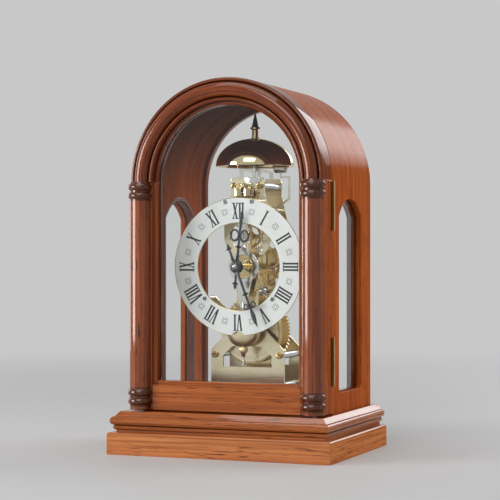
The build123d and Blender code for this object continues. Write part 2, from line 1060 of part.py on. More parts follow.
def tapered(start, end, start_w, end_w):
    """Corners of a straight arm that tapers from one width to another."""
    turn = towards(start, end) + 90
    start_x, start_y = polar(start_w / 2, turn)
    end_x, end_y = polar(end_w / 2, turn)
    return (
        (start[0] - start_x, start[1] - start_y),
        (end[0] - end_x, end[1] - end_y),
        (end[0] + end_x, end[1] + end_y),
        (start[0] + start_x, start[1] + start_y),
    )


with BuildPart() as anchor:
    with BuildSketch(upright(0, anchor_front + anchor_t, escape_at[1])):
        pivot = (0, anchor_at[1] - escape_at[1])
        with Locations(pivot):
            Circle(anchor_hub_r)
        for side in (-1, 1):
            nib = polar(escape_r + tooth_gap, 90 + side * pallet_angle)
            elbow = polar(escape_r + tooth_gap + pallet_l, 90 + side * pallet_angle)
            Polygon(*tapered(pivot, elbow, 2 * anchor_arm_w, anchor_arm_w))
            Polygon(*tapered(elbow, nib, anchor_arm_w, pallet_w))
        with Locations(pivot):
            Circle(arbor_r, mode=Mode.SUBTRACT)
    extrude(amount=anchor_t)

with BuildPart() as crutch:
    bar(*anchor_at, crutch_front, plate_c - passing_gap, arbor_r)
    bar(*anchor_at, plate_c - passing_gap, plate_d, pivot_r)
    with BuildSketch(upright(0, crutch_back, 0)):
        with Locations(anchor_at):
            Circle(crutch_w)
        with Locations((0, (anchor_at[1] + crutch_z - crutch_w / 2) / 2)):
            Rectangle(crutch_w, crutch_l + crutch_w / 2)
    extrude(amount=crutch_t)
    bar(0, crutch_z, pendulum_y - rod_t, crutch_front, crutch_pin_r)


# Suspension cock and the pendulum that hangs from it
block_top = swing_z - spring_l
block_low = block_top - end_block_h
neck_z_low = dial_z - neck_drop
bob_z = dial_z - bob_drop
rod_end_z = dial_z - rod_end_drop

with BuildPart() as suspension_cock:
    slab(
        -cock_w / 2,
        cock_w / 2,
        pendulum_y - suspension_w / 2,
        plate_a,
        swing_z + cock_gap,
        swing_z + cock_gap + cock_h,
    )
    chamfer(suspension_cock.edges().filter_by(Axis.Y), plinth_edge)

with BuildPart() as suspension_spring:
    slab(
        -suspension_t / 2,
        suspension_t / 2,
        pendulum_y - suspension_w / 2,
        pendulum_y + suspension_w / 2,
        block_top,
        swing_z,
    )

with BuildPart() as pendulum_rod:
    slab(
        -end_block_w / 2,
        end_block_w / 2,
        pendulum_y - end_block_w / 2,
        pendulum_y + end_block_w / 2,
        block_low,
        block_top,
    )
    with BuildSketch(upright(0, pendulum_y + rod_t / 2, 0)):
        with Locations((0, (block_low + dial_z) / 2)):
            Rectangle(rod_w, block_low - dial_z)
        Polygon(
            (-pendulum_ring_hole_r, dial_z),
            (-rod_w / 2, neck_z_low),
            (rod_w / 2, neck_z_low),
            (pendulum_ring_hole_r, dial_z),
        )
        with Locations(centre_at):
            Circle(pendulum_ring_r)
            Circle(pendulum_ring_hole_r, mode=Mode.SUBTRACT)
        with Locations((0, crutch_z)):
            SlotOverall(
                rod_w - rod_t,
                2 * (crutch_pin_r + passing_gap),
                rotation=90,
                mode=Mode.SUBTRACT,
            )
    extrude(amount=rod_t)
    with Locations((0, pendulum_y, rod_end_z)):
        Cylinder(thread_r, neck_z_low + rod_w - rod_end_z, align=upward)

with BuildPart() as bob:
    with BuildSketch(Plane(origin=(0, pendulum_y, bob_z), x_dir=(1, 0, 0), z_dir=(0, 0, 1))):
        turns = [pi / 2 * step / bob_steps for step in range(bob_steps + 1)]
        Polygon(
            (0, bob_rim_t / 2),
            (bob_r, bob_rim_t / 2),
            *[(bob_r * cos(turn), -bob_rim_t / 2 - bob_swell * sin(turn)) for turn in turns],
        )
    revolve(axis=Axis((0, pendulum_y, bob_z), (0, 1, 0)))
    with Locations((0, pendulum_y, bob_z)):
        Cylinder(thread_r + running_gap, 2 * bob_r, mode=Mode.SUBTRACT)

with BuildPart() as rating_nut:
    nut_top = bob_z - bob_r
    with Locations((0, pendulum_y, nut_top - nut_h)):
        Cylinder(nut_r, nut_h, align=upward)
    with Locations((0, pendulum_y, nut_top - nut_h - nut_tail_h)):
        Cylinder(nut_tail_r, nut_tail_h, align=upward)
        Cylinder(
            thread_r + running_gap, nut_h + nut_tail_h, align=upward, mode=Mode.SUBTRACT
        )


# Motion work in front of the plate, and the hands
cannon_front = plate_a - cannon_setback - cannon_t
minute_wheel_front = cannon_front + (cannon_t - wheel_t) / 2
hour_wheel_front = plate_a - hour_wheel_setback - wheel_t
hour_hand_back = dial_front - hour_hand_standoff
minute_hand_back = dial_front - minute_hand_standoff
nut_back = minute_hand_back - hand_t

with BuildPart() as centre_arbor:
    bar(*centre_at, nut_back - hand_nut_t / 2, plate_c - passing_gap, arbor_r)
    bar(*centre_at, plate_c - passing_gap, plate_d, pivot_r)
    with BuildSketch(upright(0, second_wheel_front + wheel_t + leaf_overlap, dial_z)):
        Polygon(
            *pinion_leaves(
                centre_leaves,
                second_module,
                towards(centre_at, second_at) + 180 / centre_leaves,
            )
        )
    extrude(amount=pinion_l)

with BuildPart() as cannon_pinion:
    with BuildSketch(upright(0, cannon_front + cannon_t, dial_z)):
        Polygon(*pinion_leaves(cannon_leaves, motion_module, towards(centre_at, minute_at)))
    extrude(amount=cannon_t)
    bar(*centre_at, nut_back, cannon_front, cannon_pipe_r)
    bar(*centre_at, nut_back, cannon_front + cannon_t, arbor_r, Mode.SUBTRACT)

with BuildPart() as plate_studs:
    bar(*minute_at, hour_wheel_front, plate_b, arbor_r)
    bar(*click_at, plate_d, ratchet_back + passing_gap, click_stud_r)
    bar(*click_at, plate_d, ratchet_front - passing_gap, click_head_r)

with BuildPart() as minute_wheel:
    with BuildSketch(upright(minute_at[0], minute_wheel_front + wheel_t, minute_at[1])):
        Polygon(
            *wheel_teeth(
                minute_teeth,
                motion_module,
                towards(minute_at, centre_at) + 180 / minute_teeth,
            )
        )
    extrude(amount=wheel_t)
    with BuildSketch(upright(minute_at[0], minute_wheel_front, minute_at[1])):
        Polygon(*pinion_leaves(minute_leaves, motion_module, towards(minute_at, centre_at)))
    extrude(amount=minute_wheel_front - hour_wheel_front)
    bar(
        *minute_at,
        hour_wheel_front,
        minute_wheel_front + wheel_t,
        arbor_r + running_gap,
        Mode.SUBTRACT,
    )

with BuildPart() as hour_wheel:
    with BuildSketch(upright(0, hour_wheel_front + wheel_t, dial_z)):
        Polygon(
            *wheel_teeth(
                hour_teeth,
                motion_module,
                towards(centre_at, minute_at) + 180 / hour_teeth,
            )
        )
    extrude(amount=wheel_t)
    bar(*centre_at, hour_hand_back - hand_t, hour_wheel_front, hour_pipe_r)
    bar(
        *centre_at,
        hour_hand_back - hand_t,
        hour_wheel_front + wheel_t,
        cannon_pipe_r + running_gap,
        Mode.SUBTRACT,
    )


def hand(turn, y_back, length, tail, loop_at, loop_r, bore):
    """Pierced serpentine hand with a hub, a pair of loops, a leaf point and a crossed tail."""
    leaf_start = loop_at + loop_r
    with BuildPart() as pointer:
        with BuildSketch(turned(centre_at, y_back, turn)):
            Circle(hand_hub_r)
            with Locations((0, (leaf_start - tail) / 2)):
                Rectangle(hand_w, leaf_start + tail)
            with Locations((-loop_r, loop_at), (loop_r, loop_at)):
                Circle(loop_r)
                Circle(loop_r - loop_w, mode=Mode.SUBTRACT)
            with Locations((0, hand_hub_r + cross_l), (0, cross_l / 2 - tail)):
                Rectangle(cross_l, hand_w)
            Polygon(
                (-hand_w / 2, leaf_start - hand_w),
                (hand_w / 2, leaf_start - hand_w),
                (leaf_half, (leaf_start + length) / 2),
                (0, length),
                (-leaf_half, (leaf_start + length) / 2),
            )
            Circle(bore, mode=Mode.SUBTRACT)
        extrude(amount=hand_t)
    return pointer


hour_hand = hand(
    hour_angle, hour_hand_back, hour_hand_l, hour_tail_l, hour_loop_at, hour_loop_r, hour_pipe_r
)
minute_hand = hand(
    minute_angle,
    minute_hand_back,
    minute_hand_l,
    minute_tail_l,
    minute_loop_at,
    minute_loop_r,
    cannon_pipe_r,
)

with BuildPart() as hand_nut:
    bar(*centre_at, nut_back - hand_nut_t, nut_back, hand_nut_r)
    chamfer(hand_nut.edges().group_by(Axis.Y)[0], hand_nut_t / 2)
    bar(*centre_at, nut_back - hand_nut_t / 2, nut_back, arbor_r, Mode.SUBTRACT)


# Bell on its bracket over the plates, and the hammer that strikes it from inside
strap_low = crown_z + strap_rise
strap_top = strap_low + strap_t
bell_inner_h = bell_h - bell_wall

with BuildPart() as bell_bracket:
    slab(-strap_half, strap_half, plate_a, plate_d, strap_low, strap_top)
    for side in (-1, 1):
        for y in (plate_a, plate_c):
            slab(
                side * leg_x - leg_w / 2,
                side * leg_x + leg_w / 2,
                y,
                y + plate_t,
                crown_z,
                strap_low,
            )
    with Locations((0, bell_y, strap_top)):
        Cylinder(bell_post_r, bell_top_z - bell_wall - strap_top, align=upward)

with BuildPart() as bell:
    with BuildSketch(upright(0, bell_y, bell_rim_z)):
        turns = [pi / 2 * step / bell_steps for step in range(bell_steps)]
        inner_r = bell_r - bell_wall
        Polygon(
            *[(bell_r * cos(turn), bell_h * sin(turn)) for turn in turns],
            (bell_seat_r, bell_h),
            (0, bell_h),
            (0, bell_inner_h),
            (bell_seat_r, bell_inner_h),
            *[(inner_r * cos(turn), bell_inner_h * sin(turn)) for turn in reversed(turns)],
        )
    revolve(axis=Axis((0, bell_y, 0), (0, 0, 1)))

with BuildPart() as bell_finial:
    with BuildSketch(upright(0, bell_y, bell_top_z)):
        Polygon(
            (0, 0),
            (finial_r, 0),
            (finial_r, finial_body_h - finial_collar_t),
            (finial_collar_r, finial_body_h - finial_collar_t),
            (finial_collar_r, finial_body_h),
            (finial_cone_r, finial_body_h),
            (0, finial_body_h + finial_cone_h),
        )
    revolve(axis=Axis((0, bell_y, 0), (0, 0, 1)))

hammer_head_z = bell_rim_z - hammer_head_drop
arm_top = hammer_head_z - hammer_head_r + hammer_bite

with BuildPart() as hammer_arm:
    bar(*hammer_at, plate_b + passing_gap, plate_c - passing_gap, arbor_r)
    bar(*hammer_at, plate_a, plate_b + passing_gap, pivot_r)
    bar(*hammer_at, plate_c - passing_gap, plate_d, pivot_r)
    with BuildSketch(upright(0, hammer_y + hammer_arm_t / 2, 0)):
        with BuildLine():
            Polyline(
                hammer_at,
                (hammer_bow_x, hammer_at[1] + hammer_bow_rise),
                (hammer_bow_x, hammer_head_z - hammer_head_r - hammer_neck),
                (hammer_head_x, hammer_head_z - hammer_head_r - hammer_neck),
                (hammer_head_x, arm_top),
            )
        trace(line_width=hammer_arm_w)
        with Locations(hammer_at):
            Circle(hub_r)
    extrude(amount=hammer_arm_t)

with BuildPart() as hammer_head:
    with Locations((hammer_head_x, hammer_y, hammer_head_z)):
        Cylinder(hammer_head_r, hammer_head_l, rotation=(0, 90, 0))
    slab(
        hammer_head_x - hammer_arm_w / 2,
        hammer_head_x + hammer_arm_w / 2,
        hammer_y - hammer_arm_t / 2,
        hammer_y + hammer_arm_t / 2,
        hammer_head_z - hammer_head_r,
        arm_top,
        Mode.SUBTRACT,
    )


# Save every piece as a node of its own
pieces = {
    "plinth": plinth,
    "base_moulding": base_moulding,
    "case_shell": case_shell,
    "back_lip": back_lip,
    "side_panes": side_panes,
    "side_beads": side_beads,
    "movement_seat": movement_seat,
    "door_stile_left": door_stile_left,
    "door_stile_right": door_stile_right,
    "door_rail": door_rail,
    "door_arch": door_arch,
    "columns": columns,
    "door_glass": door_glass,
    "door_bead": door_bead,
    "hinge_leaves_case": hinge_leaves_case,
    "hinge_leaves_door": hinge_leaves_door,
    "front_plate": front_plate,
    "back_plate": back_plate,
    "pillars": pillars,
    "dial_bracket": dial_bracket,
    "dial_posts": dial_posts,
    "chapter_ring": chapter_ring,
    "barrel": barrel,
    "winding_arbor": winding_arbor,
    "ratchet_wheel": ratchet_wheel,
    "click": click,
    "second_arbor": second_arbor,
    "second_wheel": second_wheel,
    "third_arbor": third_arbor,
    "third_wheel": third_wheel,
    "escape_arbor": escape_arbor,
    "escape_wheel": escape_wheel,
    "centre_arbor": centre_arbor,
    "centre_wheel": centre_wheel,
    "anchor": anchor,
    "crutch": crutch,
    "suspension_cock": suspension_cock,
    "suspension_spring": suspension_spring,
    "pendulum_rod": pendulum_rod,
    "bob": bob,
    "rating_nut": rating_nut,
    "cannon_pinion": cannon_pinion,
    "minute_wheel": minute_wheel,
    "plate_studs": plate_studs,
    "hour_wheel": hour_wheel,
    "hour_hand": hour_hand,
    "minute_hand": minute_hand,
    "hand_nut": hand_nut,
    "bell_bracket": bell_bracket,
    "bell": bell,
    "bell_finial": bell_finial,
    "hammer_head": hammer_head,
    "hammer_arm": hammer_arm,
}
os.makedirs("parts", exist_ok=True)
for node, piece in pieces.items():
    piece.part.label = node
    export_step(piece.part, f"parts/{node}.step")
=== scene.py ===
"""Mantel clock: the finish of every surface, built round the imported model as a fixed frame."""

import json
import logging
import math
from dataclasses import dataclass
from enum import Enum
from functools import lru_cache
from typing import Callable, Iterable, Optional, Sequence, Union

import bmesh
import bpy
from mathutils import Matrix, Vector

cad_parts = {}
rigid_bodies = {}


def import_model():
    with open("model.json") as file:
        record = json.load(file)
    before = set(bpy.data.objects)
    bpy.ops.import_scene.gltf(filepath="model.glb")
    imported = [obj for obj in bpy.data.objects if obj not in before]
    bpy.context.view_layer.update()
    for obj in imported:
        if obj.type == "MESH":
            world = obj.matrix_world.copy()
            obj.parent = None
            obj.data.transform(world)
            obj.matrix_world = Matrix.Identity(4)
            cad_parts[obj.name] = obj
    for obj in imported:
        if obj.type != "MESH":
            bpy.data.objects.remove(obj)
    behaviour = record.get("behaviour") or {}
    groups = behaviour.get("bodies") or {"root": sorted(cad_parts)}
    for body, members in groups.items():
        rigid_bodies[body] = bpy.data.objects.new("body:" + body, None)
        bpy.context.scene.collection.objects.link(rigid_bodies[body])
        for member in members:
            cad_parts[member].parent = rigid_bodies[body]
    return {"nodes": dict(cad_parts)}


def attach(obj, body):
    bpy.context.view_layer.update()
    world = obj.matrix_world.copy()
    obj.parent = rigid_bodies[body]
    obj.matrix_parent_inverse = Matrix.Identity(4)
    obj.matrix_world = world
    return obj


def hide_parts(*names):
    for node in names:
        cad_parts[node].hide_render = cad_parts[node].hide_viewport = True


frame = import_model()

LOG = logging.getLogger("mantel_clock")
MM = 0.001
FULL_TURN = 360.0
SIDES = (-1, 1)
START_OBJECTS = ("Cube", "Light", "Camera")

Colour = tuple[float, float, float]
Point = tuple[float, float]
Place = tuple[float, float, float]
Oval = tuple[float, float, float, float]
Piece = bpy.types.Object
Socket = bpy.types.NodeSocket


class Tone:
    """A value in a shader that takes part in Python arithmetic."""

    def __init__(self, nodes: "Nodes", socket: Socket) -> None:
        """Keeps the socket and the nodes that it belongs to."""
        self.nodes = nodes
        self.socket = socket

    def maths(self, operation: str, *values: Union["Tone", float]) -> "Tone":
        """Adds one Math node.

        Args:
            operation: the Math node's operation.
            values: its inputs, in order.

        Returns:
            The node's result.
        """
        made = self.nodes.node("ShaderNodeMath", {"operation": operation}, dict(enumerate(values)))
        return Tone(self.nodes, made.outputs[0])

    def __add__(self, other: Union["Tone", float]) -> "Tone":
        """Sum."""
        return self.maths("ADD", self, other)

    def __radd__(self, other: float) -> "Tone":
        """Sum with a number on the left."""
        return self.maths("ADD", other, self)

    def __sub__(self, other: Union["Tone", float]) -> "Tone":
        """Difference."""
        return self.maths("SUBTRACT", self, other)

    def __rsub__(self, other: float) -> "Tone":
        """Difference from a number."""
        return self.maths("SUBTRACT", other, self)

    def __mul__(self, other: Union["Tone", float]) -> "Tone":
        """Product."""
        return self.maths("MULTIPLY", self, other)

    def __rmul__(self, other: float) -> "Tone":
        """Product with a number on the left."""
        return self.maths("MULTIPLY", other, self)

    def __gt__(self, other: Union["Tone", float]) -> "Tone":
        """One where this value is the larger, else nought."""
        return self.maths("GREATER_THAN", self, other)

    def size(self) -> "Tone":
        """The value without its sign."""
        return self.maths("ABSOLUTE", self)

    def root(self) -> "Tone":
        """Square root of the value."""
        return self.maths("SQRT", self)

    def between(self, low: float, high: float) -> "Tone":
        """Smooth step from nought to one.

        Args:
            low: value at which it starts to rise.
            high: value at which it is one.

        Returns:
            The step.
        """
        limits = {"Value": self, "From Min": low, "From Max": high}
        made = self.nodes.node("ShaderNodeMapRange", {"interpolation_type": "SMOOTHSTEP"}, limits)
        return Tone(self.nodes, made.outputs[0])


Value = Union[Tone, float]


class Nodes:
    """Nodes of a material or of the world."""

    def __init__(self, tree: bpy.types.NodeTree) -> None:
        """Keeps the tree that new nodes go into."""
        self.tree = tree

    def join(self, socket: Socket, value: object) -> None:
        """Links a value to a socket, or sets it there.

        Args:
            socket: the socket to feed.
            value: a tone or socket to link, or a plain number or colour to set.
        """
        if isinstance(value, Tone):
            self.tree.links.new(value.socket, socket)
        elif isinstance(value, Socket):
            self.tree.links.new(value, socket)
        elif socket.type == "RGBA":
            socket.default_value = (*value, 1.0)
        else:
            socket.default_value = value

    def node(self, kind: str, settings: dict[str, object], inputs: dict) -> bpy.types.Node:
        """Adds any node.

        Args:
            kind: Blender's name of the node type.
            settings: properties of the node, set first.
            inputs: values or links of its sockets, by name or number.

        Returns:
            The new node.
        """
        made = self.tree.nodes.new(kind)
        for name, value in settings.items():
            setattr(made, name, value)
        for name, value in inputs.items():
            self.join(made.inputs[name], value)
        return made


class Shader(Nodes):
    """One material's nodes, with a Principled surface."""

    hollow_rays = 24

    def __init__(self, name: str) -> None:
        """Starts a material.

        Args:
            name: name of the material.
        """
        self.material = bpy.data.materials.new(name)
        self.material.use_nodes = True
        super().__init__(self.material.node_tree)
        self.surface = next(n for n in self.tree.nodes if n.type == "BSDF_PRINCIPLED")
        self.output = next(n for n in self.tree.nodes if n.type == "OUTPUT_MATERIAL")

    def vector(self, output: str) -> tuple[Tone, Tone, Tone]:
        """The three parts of a texture coordinate.

        Args:
            output: name of the coordinate.

        Returns:
            Its x, y and z.
        """
        source = self.node("ShaderNodeTexCoord", {}, {}).outputs[output]
        parts = self.node("ShaderNodeSeparateXYZ", {}, {0: source}).outputs
        return Tone(self, parts[0]), Tone(self, parts[1]), Tone(self, parts[2])

    def place(self) -> tuple[Tone, Tone, Tone]:
        """Where a point lies in the clock's frame, in metres."""
        return self.vector("Object")

    def facing(self) -> tuple[Tone, Tone, Tone]:
        """Which way the surface faces, as its normal's three parts."""
        return self.vector("Normal")

    def noise(self, x: Value, y: Value, z: Value, detail: float = 2.0) -> Tone:
        """Cloudy value about one half.

        Args:
            x: first coordinate, one unit to a cloud.
            y: second coordinate.
            z: third coordinate.
            detail: how many finer layers there are.

        Returns:
            The noise.
        """
        point = self.node("ShaderNodeCombineXYZ", {}, {0: x, 1: y, 2: z}).outputs[0]
        made = self.node("ShaderNodeTexNoise", {}, {"Vector": point, "Scale": 1.0, "Detail": detail})
        return Tone(self, made.outputs[0])

    def cloud(self, fineness: float, detail: float) -> Tone:
        """Noise that is alike every way, with so many clouds to a metre."""
        x, y, z = self.place()
        return self.noise(x * fineness, y * fineness, z * fineness, detail)

    def hollow(self, reach: float) -> Tone:
        """How closed in a point is by its own piece.

        Args:
            reach: how far it looks round the point, in metres.

        Returns:
            Nought in the open and one in a deep hollow.
        """
        settings = {"only_local": True, "samples": self.hollow_rays}
        made = self.node("ShaderNodeAmbientOcclusion", settings, {"Distance": reach})
        return 1 - Tone(self, made.outputs["AO"])

    def blend(self, share: Tone, first: object, second: object) -> Socket:
        """Colour that goes from the first to the second as the share goes from nought to one."""
        made = self.node("ShaderNodeMix", {"data_type": "RGBA"}, {0: share, 6: first, 7: second})
        return made.outputs[2]

    def feed(self, **values: object) -> None:
        """Sets or links sockets of the surface.

        Args:
            values: what each socket gets, by its name with _ for a space.
        """
        for name, value in values.items():
            words = [w.upper() if w == "ior" else w.capitalize() for w in name.split("_")]
            self.join(self.surface.inputs[" ".join(words)], value)

    def relief(self, height: Tone, depth: float, strength: float = 1.0) -> None:
        """Raises the surface by a height from nought to one times the depth in metres."""
        bump = self.node("ShaderNodeBump", {}, {"Height": height, "Distance": depth, "Strength": strength})
        self.join(self.surface.inputs["Normal"], bump.outputs[0])

    def show(self, share: Tone, first: Socket, second: Socket) -> None:
        """Shows a surface that goes from the first to the second as the share goes from nought to one."""
        mixed = self.node("ShaderNodeMixShader", {}, {0: share, 1: first, 2: second})
        self.join(self.output.inputs["Surface"], mixed.outputs[0])


def toned(colour: Colour, share: float) -> Colour:
    """A colour at a share of its strength."""
    return tuple(c * share for c in colour)


class Grain(Enum):
    """Way the grain of a board runs."""

    ACROSS = "along the front"
    UPRIGHT = "up and down"
    ROUND_ARCH = "up one wall, over the arch and down the other"
    ROUND_BASE = "along each side of the base"


class Figure(Enum):
    """Feature of the grain, with its clouds to a metre along and across the board and its detail."""

    DRIFT = (7.0, 16.0, 2.0)
    BANDS = (3.0, 60.0, 3.0)
    STREAKS = (9.0, 640.0, 4.0)
    PORES = (52.0, 1050.0, 1.0)
    HAZE = (22.0, 30.0, 2.0)


class Lay(Enum):
    """Way the tool marks of a metal run."""

    ACROSS = "straight, from side to side"
    UPRIGHT = "straight, up and down"
    TURNED = "in rings"
    PLAIN = "none to be seen"


@dataclass(frozen=True)
class Lacquer:
    """Stained wood under a lacquer.

    The shares and tones say how strongly each darker layer lies over the grain and how far it darkens the
    darkest
    colour: the grain's own stain, painted shade in grooves and recesses, painted shade inside the case that
    grows towards the top, and darker bands at given heights over the columns' turned rings. Lengths are in
    millimetres.
    The roughness is a plain part, one for the streaks and one for haze.
    """

    name: str
    light: Colour
    body: Colour
    dark: Colour
    grain: Grain
    gloss: float = 0.9
    coat_roughness: float = 0.06
    satin_and_shade_r: float = 0.0
    side_gloss: float = 1.0
    side_from: float = 0.94
    spring_z: float = 235.3
    arch_r: float = 81.0
    drift_bend: float = 0.9
    band_edges: Point = (0.34, 0.6)
    band_mix: Point = (0.55, 0.45)
    body_share: Point = (0.35, 0.65)
    streak_edges: Point = (0.44, 0.72)
    streak_share: float = 0.5
    pore_edges: Point = (0.6, 0.7)
    pore_share: float = 0.85
    pore_tone: float = 0.2
    pore_depth: float = 0.06
    pore_strength: float = 0.3
    # Painted shade: the colour darkens in grooves and recesses, by how closed in each point is by its own
    # piece.
    groove_shade_reach: float = 0.0
    groove_shade_edges: Point = (0.12, 0.62)
    groove_shade_share: float = 0.85
    groove_shade_tone: float = 0.12
    dark_bands: tuple[Point, ...] = ()
    band_soft: float = 0.8
    band_share: float = 0.7
    band_tone: float = 0.35
    # Painted shade inside the case, darker towards the top of the arch.
    inside_shade_heights: Point = (170.0, 300.0)
    inside_shade_share: Point = (0.02, 0.8)
    inside_shade_tone: float = 0.1
    satin_gloss: float = 0.08
    roughness: Place = (0.34, 0.12, 0.06)
    coat_share: Point = (0.9, 0.2)

    def board(self, shader: Shader) -> tuple[Tone, Tone, Tone]:
        """Directions of the board at a point.

        Args:
            shader: the material in the making.

        Returns:
            Distances along the grain, across it and into the board, in metres.
        """
        x, y, z = shader.place()
        if self.grain is Grain.ACROSS:
            return x, z, y
        if self.grain is Grain.UPRIGHT:
            return z, x, y
        if self.grain is Grain.ROUND_BASE:
            side_x, side_y, _ = shader.facing()
            side = side_x.size() > side_y.size()
            return x + side * (y - x), z, y + side * (x - y)
        rise = z - self.spring_z * MM
        above = rise > 0.0
        turn = x.maths("ARCTAN2", rise, x.size())
        run = rise + above * (turn * (self.arch_r * MM) - rise)
        return run, y, (x * x + above * rise * rise).root()

    def clouds(
        self, shader: Shader, board: Sequence[Tone], figure: Figure, bend: Value = 0.0, dip: Value = 0.0
    ) -> Tone:
        """Noise drawn out along the grain.

        Args:
            shader: the material in the making.
            board: distances along the grain, across it and into the board.
            figure: which feature of the grain it is for.
            bend: how far it is moved across the board.
            dip: how far it is moved into the board.

        Returns:
            The noise.
        """
        run, pitch, detail = figure.value
        along, across, deep = board
        return shader.noise(along * run, across * pitch + bend, deep * pitch + dip, detail)

    def bare(self, shader: Shader, board: Sequence[Tone]) -> tuple[Socket, Tone, Tone]:
        """The grain before any further stain.

        Args:
            shader: the material in the making.
            board: distances along the grain, across it and into the board.

        Returns:
            The colour, the fine streaks and the open pores.
        """
        drift = self.clouds(shader, board, Figure.DRIFT) * self.drift_bend
        bands = self.clouds(shader, board, Figure.BANDS, drift, drift)
        streaks = self.clouds(shader, board, Figure.STREAKS, drift)
        dashes = self.clouds(shader, board, Figure.PORES)
        pore = dashes.between(*self.pore_edges) * bands.between(*self.band_edges)
        wide = (bands * self.band_mix[0] + streaks * self.band_mix[1]).between(*self.band_edges)
        fine = streaks.between(*self.streak_edges)
        colour = shader.blend(self.body_share[0] + wide * self.body_share[1], self.dark, self.body)
        colour = shader.blend(fine * self.streak_share, colour, self.light)
        return shader.blend(pore * self.pore_share, colour, toned(self.dark, self.pore_tone)), fine, pore

    def darkened(self, shader: Shader, colour: Socket, inside: Value) -> Socket:
        """The grain with painted shade in its grooves and inside the case, and darker bands at given
        heights.

        Args:
            shader: the material in the making.
            colour: colour of the grain.
            inside: one inside the case, else nought.

        Returns:
            The darkened colour.
        """
        # Painted shade in grooves and recesses, from how closed in each point is.
        if self.groove_shade_reach:
            closed = shader.hollow(self.groove_shade_reach * MM).between(*self.groove_shade_edges)
            colour = shader.blend(closed * self.groove_shade_share, colour, toned(self.dark, self.groove_shade_tone))
        height, soft = shader.place()[2], self.band_soft * MM
        for low, high in self.dark_bands:
            band = height.between(low * MM - soft, low * MM) - height.between(high * MM, high * MM + soft)
            colour = shader.blend(band * self.band_share, colour, toned(self.dark, self.band_tone))
        # Painted shade inside the case, darker towards the top.
        if self.satin_and_shade_r:
            low, high = self.inside_shade_heights
            least, more = self.inside_shade_share
            shade = inside * (least + height.between(low * MM, high * MM) * more)
            colour = shader.blend(shade, colour, toned(self.dark, self.inside_shade_tone))
        return colour

    def sheen(self, shader: Shader, inside: Value) -> Value:
        """Weight of the lacquer, less on sides and inside the case.

        Args:
            shader: the material in the making.
            inside: one inside the case, else nought.

        Returns:
            The weight.
        """
        gloss = self.gloss
        if self.side_gloss < 1.0:
            sideways = shader.facing()[0].size().between(self.side_from, 1.0)
            gloss = gloss - sideways * (self.gloss * (1 - self.side_gloss))
        if self.satin_and_shade_r:
            gloss = gloss - gloss * inside * (1 - self.satin_gloss)
        return gloss

    def make(self) -> bpy.types.Material:
        """Makes the material.

        Returns:
            The finished material.
        """
        shader = Shader(self.name)
        board = self.board(shader)
        inside = (self.satin_and_shade_r * MM - board[2]) > 0.0 if self.satin_and_shade_r else 0.0
        colour, fine, pore = self.bare(shader, board)
        haze = self.clouds(shader, board, Figure.HAZE)
        plain, streaky, hazy = self.roughness
        least, more = self.coat_share
        shader.feed(
            base_color=self.darkened(shader, colour, inside),
            roughness=plain + fine * streaky + haze * hazy,
            coat_weight=self.sheen(shader, inside) * (least + haze * more),
            coat_roughness=self.coat_roughness,
            specular_ior_level=0.0,
        )
        shader.relief(1 - pore, self.pore_depth * MM, self.pore_strength)
        return shader.material


@dataclass(frozen=True)
class Metal:
    """Bare or plated metal, with the marks of how it was worked.

    The pitches, and the first number of each kind of cloud, count clouds to a metre. The second is the
    detail. A dull share comes from the stain and one from specks, and likewise the roughness.
    """

    name: str
    colour: Colour
    shade: Colour
    smooth: float
    rough: float
    lay: Lay = Lay.PLAIN
    centre: Point = (0.0, 0.0)
    mark_depth: float = 0.004
    stroke_run: float = 28.0
    stroke_pitch: float = 2600.0
    stroke_deep: float = 900.0
    ring_pitch: float = 3200.0
    ring_deep: float = 1400.0
    mark_detail: float = 3.0
    mark_edges: Point = (0.3, 0.7)
    grit: Point = (420.0, 4.0)
    stain: Point = (55.0, 3.0)
    stain_edges: Point = (0.42, 0.72)
    specks: Point = (700.0, 2.0)
    speck_edges: Point = (0.66, 0.8)
    dull_mix: Point = (0.6, 0.4)
    rough_mix: Point = (0.55, 0.45)

    def marks(self, shader: Shader) -> Tone:
        """Tool marks.

        Args:
            shader: the material in the making.

        Returns:
            A value about one half.
        """
        x, y, z = shader.place()
        run, pitch, deep, detail = self.stroke_run, self.stroke_pitch, self.stroke_deep, self.mark_detail
        if self.lay is Lay.ACROSS:
            return shader.noise(x * run, y * deep, z * pitch, detail)
        if self.lay is Lay.UPRIGHT:
            return shader.noise(x * pitch, y * deep, z * run, detail)
        if self.lay is Lay.TURNED:
            east, north = x - self.centre[0] * MM, z - self.centre[1] * MM
            reach = (east * east + north * north).root()
            return shader.noise(reach * self.ring_pitch, y * self.ring_deep, 0.5, detail)
        return shader.cloud(*self.grit)

    def make(self) -> bpy.types.Material:
        """Makes the material.

        Returns:
            The finished material.
        """
        shader = Shader(self.name)
        marks = self.marks(shader)
        stain, specks = shader.cloud(*self.stain), shader.cloud(*self.specks)
        dull = stain.between(*self.stain_edges) * self.dull_mix[0]
        dull = dull + specks.between(*self.speck_edges) * self.dull_mix[1]
        worked = self.rough_mix[0] * marks.between(*self.mark_edges) + self.rough_mix[1] * stain
        shader.feed(
            base_color=shader.blend(dull, self.colour, self.shade),
            metallic=1.0,
            roughness=self.smooth + (self.rough - self.smooth) * worked,
        )
        shader.relief(marks, self.mark_depth * MM)
        return shader.material


